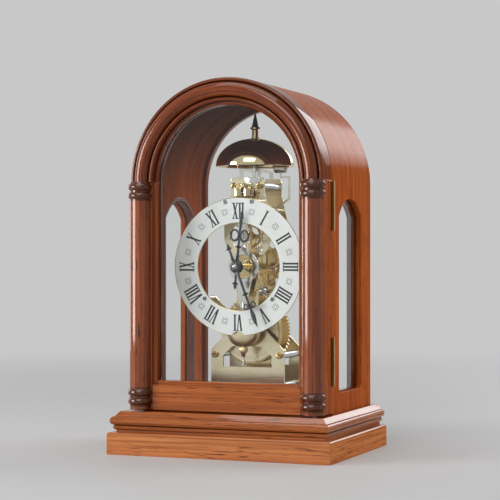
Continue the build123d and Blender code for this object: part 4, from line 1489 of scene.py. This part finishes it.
@dataclass
class Hands:
    """Pierced serpentine hands and the nut that holds them.

    Ovals are given by their middle and their half width and half height.
    """

    centre_z: float = 161.8
    hour_turn: float = 5.5
    minute_turn: float = 158.5
    hour_front: float = -31.4
    minute_front: float = -34.4
    thickness: float = 1.2
    hub_r: float = 6.0
    hour_bore: float = 3.0
    minute_bore: float = 2.0
    loop: Oval = (4.4, 27.0, 4.6, 5.5)
    loop_hole: Oval = (4.6, 27.2, 2.8, 3.8)
    curl_x: float = 3.2
    curl_z: float = 35.6
    curl_start: float = 200.0
    curl_turn: float = 470.0
    nut_front: float = -37.2
    nut_r: float = 2.9
    nut_rim: float = 0.8
    edge: float = 0.22

    def cut(self, name: str, parts: Sequence[Sequence[Sequence[Point]]], turn: float, front: float) -> Piece:
        """Cuts a hand out of flat parts and turns it to where it points.

        Args:
            name: name of the piece.
            parts: outlines of each part, the hand pointing up from the middle of the dial.
            turn: degrees clockwise from twelve.
            front: depth of its front face.

        Returns:
            The hand.
        """
        flats = []
        for n, outlines in enumerate(parts):
            shapes = [turned_points(o, (0.0, self.centre_z), turn) for o in outlines]
            flats.append(sheet(f"{name}{n}", shapes, front, front + self.thickness, self.edge))
        return join(name, flats)

    def taper(self, low: float, high: float, low_w: float, high_w: float) -> list[Point]:
        """Straight stem between two distances from the centre."""
        return [(-low_w / 2, low), (low_w / 2, low), (high_w / 2, high), (-high_w / 2, high)]

    def collar(self, at: float, reach: float) -> list[Point]:
        """Small cross bar with pointed ends.

        Args:
            at: distance from the centre.
            reach: half of its length.

        Returns:
            Its outline.
        """
        return [
            (-reach, at), (-reach * 0.5, at + 0.95), (0.0, at + 1.7), (reach * 0.5, at + 0.95),
            (reach, at), (reach * 0.5, at - 0.95), (0.0, at - 1.4), (-reach * 0.5, at - 0.95),
        ]

    def leaf(self, low: float, high: float, half: float) -> list[Point]:
        """Slim pointed blade that is broadest a third of the way along.

        Args:
            low: distance of its foot from the centre.
            high: distance of its tip from the centre.
            half: half of its greatest width.

        Returns:
            Its outline.
        """
        swell = [(0.0, 0.32), (0.18, 0.72), (0.38, 1.0), (0.6, 0.8), (0.82, 0.4)]
        right = [(half * w, low + (high - low) * t) for t, w in swell]
        return right + [(0.0, high)] + [(-x, y) for x, y in reversed(right)]

    def oval(self, side: int, shape: Oval) -> list[Point]:
        """Points round an oval on one side of the stem."""
        x, y, wide, high = shape
        return [(side * x + wide * px, y + high * py) for px, py in circle(0, 0, 1.0, 36)]

    def scroll(self, side: int) -> list[Point]:
        """Curl that leaves the stem, rolls outwards and thins to its tip.

        Args:
            side: -1 for the left curl, 1 for the right.

        Returns:
            Its outline.
        """
        outer, inner = [], []
        steps = 30
        for k in range(steps + 1):
            t = k / steps
            turn = math.radians(self.curl_start - self.curl_turn * t)
            reach = 3.1 - 1.9 * t
            width = 0.8 - 0.35 * t
            x, y = math.cos(turn), math.sin(turn)
            for line, r in ((outer, reach + width), (inner, reach - width)):
                line.append((side * (self.curl_x + r * x), self.curl_z + r * y))
        return outer + list(reversed(inner))

    def tail(self, length: float) -> list[list[Point]]:
        """Short tail with a cross and a point, away from the tip.

        Args:
            length: its length from the centre.

        Returns:
            Outlines of its stem, cross and point.
        """
        return [
            self.taper(-length + 4.0, -self.hub_r + 1.0, 1.6, 2.6),
            self.collar(-length + 5.0, 3.3),
            [(-x, -y) for x, y in self.leaf(length - 5.0, length, 1.5)],
        ]

    def hour_hand(self) -> Piece:
        """Hour hand: two open loops side by side, then a slim point.

        Returns:
            The hand.
        """
        ears = [[(s * 7.6, 29.0), (s * 10.0, 30.6), (s * 8.4, 26.6)] for s in SIDES]
        ears += [[(s * 7.4, 24.4), (s * 9.2, 22.6), (s * 8.5, 26.4)] for s in SIDES]
        singles = [
            self.taper(self.hub_r - 1.0, 23.0, 2.8, 1.7),
            self.collar(17.2, 3.5),
            self.taper(22.0, 34.0, 1.7, 1.6),
            self.leaf(31.0, 49.0, 1.7),
            *ears,
            *self.tail(19.8),
        ]
        parts = [[circle(0, 0, self.hub_r), circle(0, 0, self.hour_bore)]]
        parts += [[self.oval(side, self.loop), self.oval(side, self.loop_hole)] for side in SIDES]
        parts += [[s] for s in singles]
        return self.cut("hour_pointer", parts, self.hour_turn, self.hour_front)

    def minute_hand(self) -> Piece:
        """Minute hand: long stem, a pair of curls and a spear point.

        Returns:
            The hand.
        """
        singles = [
            self.taper(self.hub_r - 1.2, 41.0, 2.8, 1.6),
            self.collar(25.4, 3.3),
            *[self.scroll(side) for side in SIDES],
            self.leaf(38.5, 56.0, 2.0),
            *self.tail(21.6),
        ]
        parts = [[circle(0, 0, self.hub_r - 0.8), circle(0, 0, self.minute_bore)]]
        parts += [[s] for s in singles]
        return self.cut("minute_pointer", parts, self.minute_turn, self.minute_front)

    def nut(self) -> Piece:
        """Domed steel nut with a small flat rim.

        Returns:
            The nut.
        """
        height = self.minute_front - self.nut_front - self.nut_rim
        profile = [(0.0, 0.0), (self.nut_r, 0.0), (self.nut_r, -0.7)]
        profile += [(x, -self.nut_rim - y) for x, y in dome(self.nut_r * 0.95, height, 10)]
        return lathe("hand_dome", profile, (0, self.minute_front, self.centre_z), Axis.BACK, 48)

    def build(self) -> None:
        """Builds both hands and the nut."""
        hang(paint(self.hour_hand(), HAND_BLACK), "hour", "hand_black", "hour_hand")
        hang(paint(self.minute_hand(), HAND_BLACK), "centre", "hand_black", "minute_hand")
        hang(paint(self.nut(), NUT_STEEL), "centre", "steel", "hand_nut")


@dataclass
class Movement:
    """Skeleton plates, pillars, wheels and arbors."""

    plate_front: float = -6.0
    plate_back: float = 39.0
    plate_edge: float = 0.22
    wheel_edge: float = 0.12
    pillars: tuple[Point, ...] = ((-29, 57), (29, 57), (-30.5, 84), (30.5, 84), (-12, 233), (12, 233))
    pillar_screw_r: float = 2.9
    pillar_screw_h: float = 2.5
    barrel: Point = (0.0, 104.31)
    drum_front: float = 2.0
    drum_r: float = 28.0
    cap_t: float = 0.9
    arbors: tuple[str, ...] = (
        "second_arbor", "third_arbor", "escape_arbor", "centre_arbor", "winding_arbor", "cannon_pinion",
        "plate_studs", "crutch", "anchor", "click", "suspension_spring", "ratchet_wheel",
    )
    trains: tuple[tuple[str, Point], ...] = (
        ("second_wheel", (5.89, 139.82)),
        ("third_wheel", (12.53, 176.74)),
        ("escape_wheel", (0.0, 189.02)),
        ("centre_wheel", (0.0, 161.8)),
        ("minute_wheel", (0.0, 146.8)),
        ("hour_wheel", (0.0, 161.8)),
        ("barrel", (0.0, 104.31)),
    )
    hour_wheel_front: float = -11.9
    hour_z: float = 161.8
    pipe_r: float = 3.02
    ratchet_back: float = 42.0
    click_at: Point = (17.85, 97.81)
    spring_r: float = 0.45
    spring_line: tuple[Point, ...] = ((24.5, 82.0), (24.3, 88.0), (23.6, 95.0), (22.0, 101.5), (20.6, 104.5))

    def wheels(self) -> None:
        """Dresses each wheel with rings about its own arbor."""
        for node, centre in self.trains:
            finish = Metal(f"{node}_brass", BRASS, BRASS_DULL, 0.1, 0.26, Lay.TURNED, centre)
            dress(node, finish, self.wheel_edge)

    def plate_screws(self) -> Piece:
        """Screws that hold both plates to the pillars.

        Returns:
            All the screws.
        """
        r, h = self.pillar_screw_r, self.pillar_screw_h
        heads = []
        for n, at in enumerate(self.pillars):
            for towards, face in ((-1, self.plate_front), (1, self.plate_back)):
                heads.append(screw_head(f"pillar_screw{n}{towards}", at, face, r, h, 25 + 67 * n, towards))
        return join("pillar_screws", [paint(head, SCREW_BRASS) for head in heads])

    def barrel_cap(self) -> Piece:
        """Turned cap on the front of the spring barrel.

        Returns:
            The cap.
        """
        r, t = self.drum_r, self.cap_t
        profile = [
            (4.0, 0.0), (4.0, -1.6), (6.5, -1.6), (6.8, -1.2), (6.8, -t), (11.0, -t), (11.2, -0.65),
            (12.0, -0.65), (12.2, -t), (r - 5.0, -t), (r - 4.8, -0.6), (r - 4.0, -0.6), (r - 3.8, -t),
            (r - 1.2, -t), (r - 0.8, -0.6), (r - 0.8, 0.0),
        ]
        place = (self.barrel[0], self.drum_front, self.barrel[1])
        return lathe("barrel_cap", profile, place, Axis.BACK, 120, closed=True)

    def hour_boss(self) -> Piece:
        """Stepped collet on the hour wheel's pipe, behind the hour hand.

        Returns:
            The collet.
        """
        profile = [
            (self.pipe_r, 0.0), (7.6, 0.0), (7.6, -0.5), (7.2, -0.8), (5.4, -0.8), (5.2, -1.0), (5.2, -1.5),
            (4.9, -1.7), (4.2, -1.7), (4.0, -1.9), (4.0, -2.4), (self.pipe_r, -2.4),
        ]
        place = (0.0, self.hour_wheel_front, self.hour_z)
        return lathe("hour_collet", profile, place, Axis.BACK, 64, closed=True)

    def click_spring(self) -> Piece:
        """Bent wire that presses the click, on the back plate.

        Returns:
            The spring.
        """
        x, z = self.spring_line[0]
        points = [(x, self.plate_back + 0.2, z)]
        points += [(x, self.ratchet_back - 0.6, z) for x, z in self.spring_line]
        return wire("click_spring", points, self.spring_r)

    def build(self) -> None:
        """Dresses the movement and adds its screws, cap and click spring."""
        for node in ("front_plate", "back_plate"):
            dress(node, PLATE_BRASS, self.plate_edge)
        for node in ("pillars", *self.arbors):
            dress(node, TURNED_STEEL)
        self.wheels()
        hang(self.plate_screws(), "case", "brass")
        cap = Metal("cap_brass", PALE_BRASS, PALE_DULL, 0.14, 0.3, Lay.TURNED, self.barrel)
        hang(paint(self.barrel_cap(), cap), "barrel", "brass")
        hang(paint(self.hour_boss(), POLISHED_BRASS), "hour", "brass")
        hang(paint(self.click_spring(), TURNED_STEEL), "case", "steel")
        screw = screw_head("click_screw", self.click_at, self.ratchet_back + 0.3, 2.6, 1.2, 40, 1)
        hang(paint(screw, DARK_STEEL), "case", "steel")


@dataclass
class Pendulum:
    """Rod with its ring, domed bob and rating nut, hung from the cock."""

    y: float = -15.0
    rod_edge: float = 0.12
    bob_z: float = 106.8
    bob_r: float = 15.6
    bob_soft: float = 0.9
    bore_r: float = 1.2
    rim_t: float = 3.6
    swell: float = 7.6
    nut_top: float = 91.2
    nut_r: float = 3.8
    nut_h: float = 4.8
    tail_r: float = 2.2
    tail_h: float = 3.6
    cock_front: float = -17.5
    cock_z: float = 229.1
    cock_half: float = 7.5
    cock_gap: float = 1.3
    foot_half: float = 5.0
    tab: Place = (5.6, 240.0, 7.6)

    def bob(self) -> Piece:
        """Polished lens with a rounded rim, a flat back and a bore for the rod.

        Returns:
            The bob.
        """
        half, r, soft = self.rim_t / 2, self.bob_r, self.bob_soft
        profile = [(0.0, half), (r - soft, half)]
        profile += arc(r - soft, half - soft, soft, 90, 0, 6)
        profile += [(r * x, -half + self.swell * y) for x, y in arc(0.0, 0.0, 1.0, 0, -90, 28)[:-1]]
        profile.append((0.0, -half - self.swell))
        place = (0, self.y, self.bob_z)
        reach = r + 1.0
        bore = [(0.0, -reach), (self.bore_r, -reach), (self.bore_r, reach), (0.0, reach)]
        lens = lathe("pendulum_bob", profile, place, Axis.BACK, 96)
        return carve(lens, lathe("bore", bore, place, Axis.UP, 24))

    def nut(self) -> Piece:
        """Knurled nut with a coned neck and a plain tail.

        Returns:
            The nut.
        """
        r, tail, low = self.nut_r, self.tail_r, -self.nut_h
        end = low - self.tail_h
        profile = [
            (self.bore_r, 0.0), (r - 0.4, 0.0), (r, -0.4), (r, low + 1.0), (r - 0.5, low + 0.2),
            (tail + 0.4, low), (tail, low - 0.5), (tail * 0.82, end + 0.4), (tail * 0.7, end),
            (self.bore_r, end),
        ]
        place, ridges = (0, self.y, self.nut_top), knurled(r - 0.05, 0.22, 30)
        return lathe("regulator_nut", profile, place, Axis.UP, 180, closed=True, ripple=ridges)

    def cock(self) -> Piece:
        """Cock that the pendulum hangs from: a foot, two cheeks with a gap, and a cross pin.

        Returns:
            The cock.
        """
        top, low = self.cock_z + 2.0, self.cock_z - 7.0
        foot = oblong(-self.foot_half, self.foot_half, low + 4.0, top + 4.0)
        parts = [sheet("cock_foot", [foot], -9.5, -6.0, 0.3)]
        for side in SIDES:
            inner, outer = side * self.cock_gap, side * self.cock_half
            middle, reach = (inner + outer) / 2, abs(outer - inner) / 2
            rounded = arc(middle, low + reach, reach, 180, 360, 16)
            cheek = [(middle - reach, top), *rounded, (middle + reach, top)]
            parts.append(sheet(f"cheek{side}", [cheek], self.cock_front, -9.0, 0.35))
        pin = [(0.0, -9.0), (0.7, -9.0), (0.95, -8.7), (0.95, 8.7), (0.7, 9.0), (0.0, 9.0)]
        parts.append(lathe("cock_pin", pin, (0, self.y, self.cock_z - 2.4), Axis.RIGHT, 24))
        finishes = (CROWN_BRASS, CROWN_BRASS, CROWN_BRASS, TURNED_STEEL)
        return join("hanging_cock", [paint(p, f) for p, f in zip(parts, finishes)])

    def crown_tab(self) -> Piece:
        """Round plated tab on the crown of the front plate, under the bell's legs."""
        x, z, r = self.tab
        return sheet("crown_tab", [[(x - r, z), *arc(x, z, r, 180, 360, 28)]], -7.1, -6.0, 0.2)

    def cock_screw(self) -> Piece:
        """Knurled thumb screw that lies across the top of the cock.

        Returns:
            The screw.
        """
        profile = [
            (0.0, -6.4), (1.4, -6.4), (1.7, -6.1), (1.7, -3.4), (1.4, -3.1), (0.8, -3.1), (0.8, -1.6),
            (1.4, -1.6), (1.7, -1.3), (1.7, 1.2), (1.4, 1.5), (0.0, 1.5),
        ]
        place, ridges = (-0.6, self.y + 1.5, self.cock_z + 3.5), knurled(1.65, 0.16, 18)
        return lathe("cock_screw", profile, place, Axis.RIGHT, 108, ripple=ridges)

    def build(self) -> None:
        """Builds the bob, nut and thumb screw and dresses the rest."""
        dress("pendulum_rod", NICKEL, self.rod_edge)
        hang(self.cock(), "case", "brass", "suspension_cock")
        hang(paint(self.crown_tab(), NICKEL), "case", "nickel")
        hang(paint(self.bob(), BOB_BRASS), "bob", "brass", "bob")
        hang(paint(self.nut(), SOFT_BRASS), "nut", "brass", "rating_nut")
        hang(paint(self.cock_screw(), POLISHED_BRASS), "case", "brass")


@dataclass
class Bell:
    """Bell with its finial and bracket, and the hammer that strikes it."""

    y: float = 13.0
    rim_z: float = 251.3
    radius: float = 35.0
    height: float = 24.7
    wall: float = 1.5
    top_z: float = 276.0
    finial_r: float = 2.8
    collar_r: float = 4.4
    cone_r: float = 3.1
    hammer_y: float = 22.0
    head_x: float = 21.0
    head_z: float = 249.0
    head_r: float = 4.0
    head_l: float = 12.0
    edge: float = 0.2

    def bowl(self) -> Piece:
        """Thin bowl, mouth down, with a rolled rim.

        Returns:
            The bowl.
        """
        profile = dome(self.radius, self.height, 30)
        profile += reversed(dome(self.radius - self.wall, self.height - self.wall, 30))
        profile += arc(self.radius - self.wall / 2, 0.0, self.wall / 2, 180, 360, 6)[1:-1]
        return lathe("bell_bowl", profile, (0, self.y, self.rim_z), Axis.UP, 128, closed=True)

    def finial(self) -> Piece:
        """Brass stem and collar with a dark cone on top.

        Returns:
            The finial.
        """
        r, c, tip = self.finial_r, self.collar_r, self.cone_r
        stem = [
            (0.0, 0.0), (r + 1.2, 0.0), (r + 1.2, 0.6), (r, 1.0), (r, 7.0), (r + 0.3, 7.4), (c - 0.5, 7.6),
            (c, 8.1), (c, 9.4), (c - 0.5, 9.9), (tip, 10.0), (0.0, 10.0),
        ]
        cone = [
            (0.0, 10.0), (tip - 0.3, 10.0), (tip, 10.5), (tip * 0.86, 12.2), (tip * 0.52, 17.0),
            (0.75, 21.2), (0.45, 21.8), (0.0, 22.0),
        ]
        turned = (("finial_stem", stem, POLISHED_BRASS), ("finial_cone", cone, FINIAL_DARK))
        place = (0, self.y, self.top_z)
        return join("finial", [paint(lathe(name, line, place, Axis.UP, 48), f) for name, line, f in turned])

    def hammer(self) -> Piece:
        """Hammer head with rounded ends.

        Returns:
            The head.
        """
        r, half = self.head_r, self.head_l / 2
        profile = [(0.0, -half), (r - 1.2, -half), (r - 0.5, -half + 0.3), (r, -half + 1.0)]
        profile += [(radius, -x) for radius, x in reversed(profile)]
        return lathe("hammer_knob", profile, (self.head_x, self.hammer_y, self.head_z), Axis.RIGHT, 48)

    def build(self) -> None:
        """Builds the bell, finial and hammer."""
        hang(paint(self.bowl(), BELL_BRASS), "case", "brass", "bell")
        hang(self.finial(), "case", "brass", "bell_finial")
        hang(paint(self.hammer(), HAMMER_PALE), "hammer", "hammer_pale", "hammer_head")
        dress("hammer_arm", HAMMER_PALE, self.edge)
        dress("bell_bracket", NICKEL, self.edge)


@dataclass(frozen=True)
class Lamp:
    """Soft box that looks at the clock."""

    name: str
    place: Place
    width: float
    height: float
    power: float
    mirrored: bool = True


@dataclass
class Studio:
    """Floor, background, lamps and the camera, in metres."""

    camera_place: Place = (0.53927, -1.35332, 0.17232)
    camera_turn: float = 21.72
    camera_pitch: float = 0.16
    lens: float = 118.65
    sensor: float = 36.0
    clip: Point = (0.05, 100.0)
    target: Place = (0.0, 0.0, 0.16)
    pale: Colour = (0.58, 0.58, 0.58)
    fill: float = 0.2
    floor_r: float = 30.0
    floor_tone: float = 0.98
    fade: Point = (0.35, 1.6)
    lamps: tuple[Lamp, ...] = (
        Lamp("left_box", (-1.15, -0.95, 0.32), 0.75, 0.6, 16.0),
        Lamp("back_left", (-1.3, 0.55, 0.4), 0.35, 0.8, 2.5),
        Lamp("right_box", (1.2, 1.05, 0.5), 1.2, 1.0, 20.0, False),
        Lamp("back_right", (0.42, 1.5, 0.78), 0.6, 0.6, 3.0),
        Lamp("front_soft", (0.1, -1.9, 1.25), 1.2, 0.7, 12.0),
        Lamp("overhead", (-0.1, -0.4, 1.4), 0.9, 0.9, 7.0),
    )

    def floor(self) -> None:
        """Pale floor that fades into the background far away."""
        mesh = bmesh.new()
        bmesh.ops.create_circle(mesh, cap_ends=True, radius=self.floor_r, segments=96)
        piece = finish_mesh("studio_floor", mesh)
        shader = Shader("floor_paint")
        x, y, _ = shader.place()
        far = (x * x + y * y).root().between(*self.fade)
        cloud = shader.noise(x * 3.0, y * 3.0, 0.0)
        colour = shader.blend(cloud, toned(self.pale, self.floor_tone), self.pale)
        shader.feed(base_color=colour, roughness=0.6)
        glow = shader.node("ShaderNodeEmission", {}, {"Color": self.pale, "Strength": 1.0})
        shader.show(far, shader.surface.outputs[0], glow.outputs[0])
        piece.data.materials.append(shader.material)

    def world(self) -> None:
        """Even grey light, seen as a pale background."""
        world = bpy.data.worlds.new("studio")
        bpy.context.scene.world = world
        world.use_nodes = True
        nodes = Nodes(world.node_tree)
        path = nodes.node("ShaderNodeLightPath", {}, {}).outputs
        seen = Tone(nodes, path["Is Camera Ray"])
        for name in ("Is Glossy Ray", "Is Transmission Ray"):
            seen = seen.maths("MAXIMUM", seen, Tone(nodes, path[name]))
        levels = {"Value": seen, "To Min": self.fill, "To Max": 1.0}
        level = nodes.node("ShaderNodeMapRange", {}, levels)
        back = world.node_tree.nodes["Background"]
        nodes.join(back.inputs["Color"], self.pale)
        nodes.join(back.inputs["Strength"], level.outputs[0])

    def aim(self, piece: Piece, place: Place, gaze: Vector) -> None:
        """Stands a lamp or the camera at a place and turns it to look along a line."""
        piece.location = place
        piece.rotation_euler = gaze.to_track_quat("-Z", "Y").to_euler()

    def light(self) -> None:
        """Soft boxes round the clock."""
        for lamp in self.lamps:
            data = bpy.data.lights.new(lamp.name, "AREA")
            data.shape = "RECTANGLE"
            data.size, data.size_y = lamp.width, lamp.height
            data.energy = lamp.power
            made = put(lamp.name, data)
            made.visible_camera = False
            made.visible_glossy = lamp.mirrored
            self.aim(made, lamp.place, Vector(self.target) - Vector(lamp.place))

    def camera(self) -> None:
        """Camera where the photograph was taken from."""
        data = bpy.data.cameras.new("camera")
        data.lens = self.lens
        data.sensor_width = self.sensor
        data.clip_start, data.clip_end = self.clip
        made = put("camera", data)
        turn, pitch = math.radians(self.camera_turn), math.radians(self.camera_pitch)
        level = math.cos(pitch)
        gaze = Vector((-math.sin(turn) * level, math.cos(turn) * level, math.sin(pitch)))
        self.aim(made, self.camera_place, gaze)
        bpy.context.scene.camera = made

    def build(self) -> None:
        """Sets up everything that isn't the clock."""
        bpy.context.scene.view_settings.view_transform = "Standard"
        self.floor()
        self.world()
        self.light()
        self.camera()


def main() -> None:
    logging.basicConfig(level=logging.INFO, format="%(name)s: %(message)s")
    for spare in [o for o in bpy.data.objects if o.name in START_OBJECTS]:
        bpy.data.objects.remove(spare)
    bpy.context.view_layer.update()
    for assembly in (Base(), Case(), Door(), Dial(), Hands(), Movement(), Pendulum(), Bell()):
        assembly.build()
    Studio().build()
    bpy.context.view_layer.update()


if __name__ == "__main__":
    main()
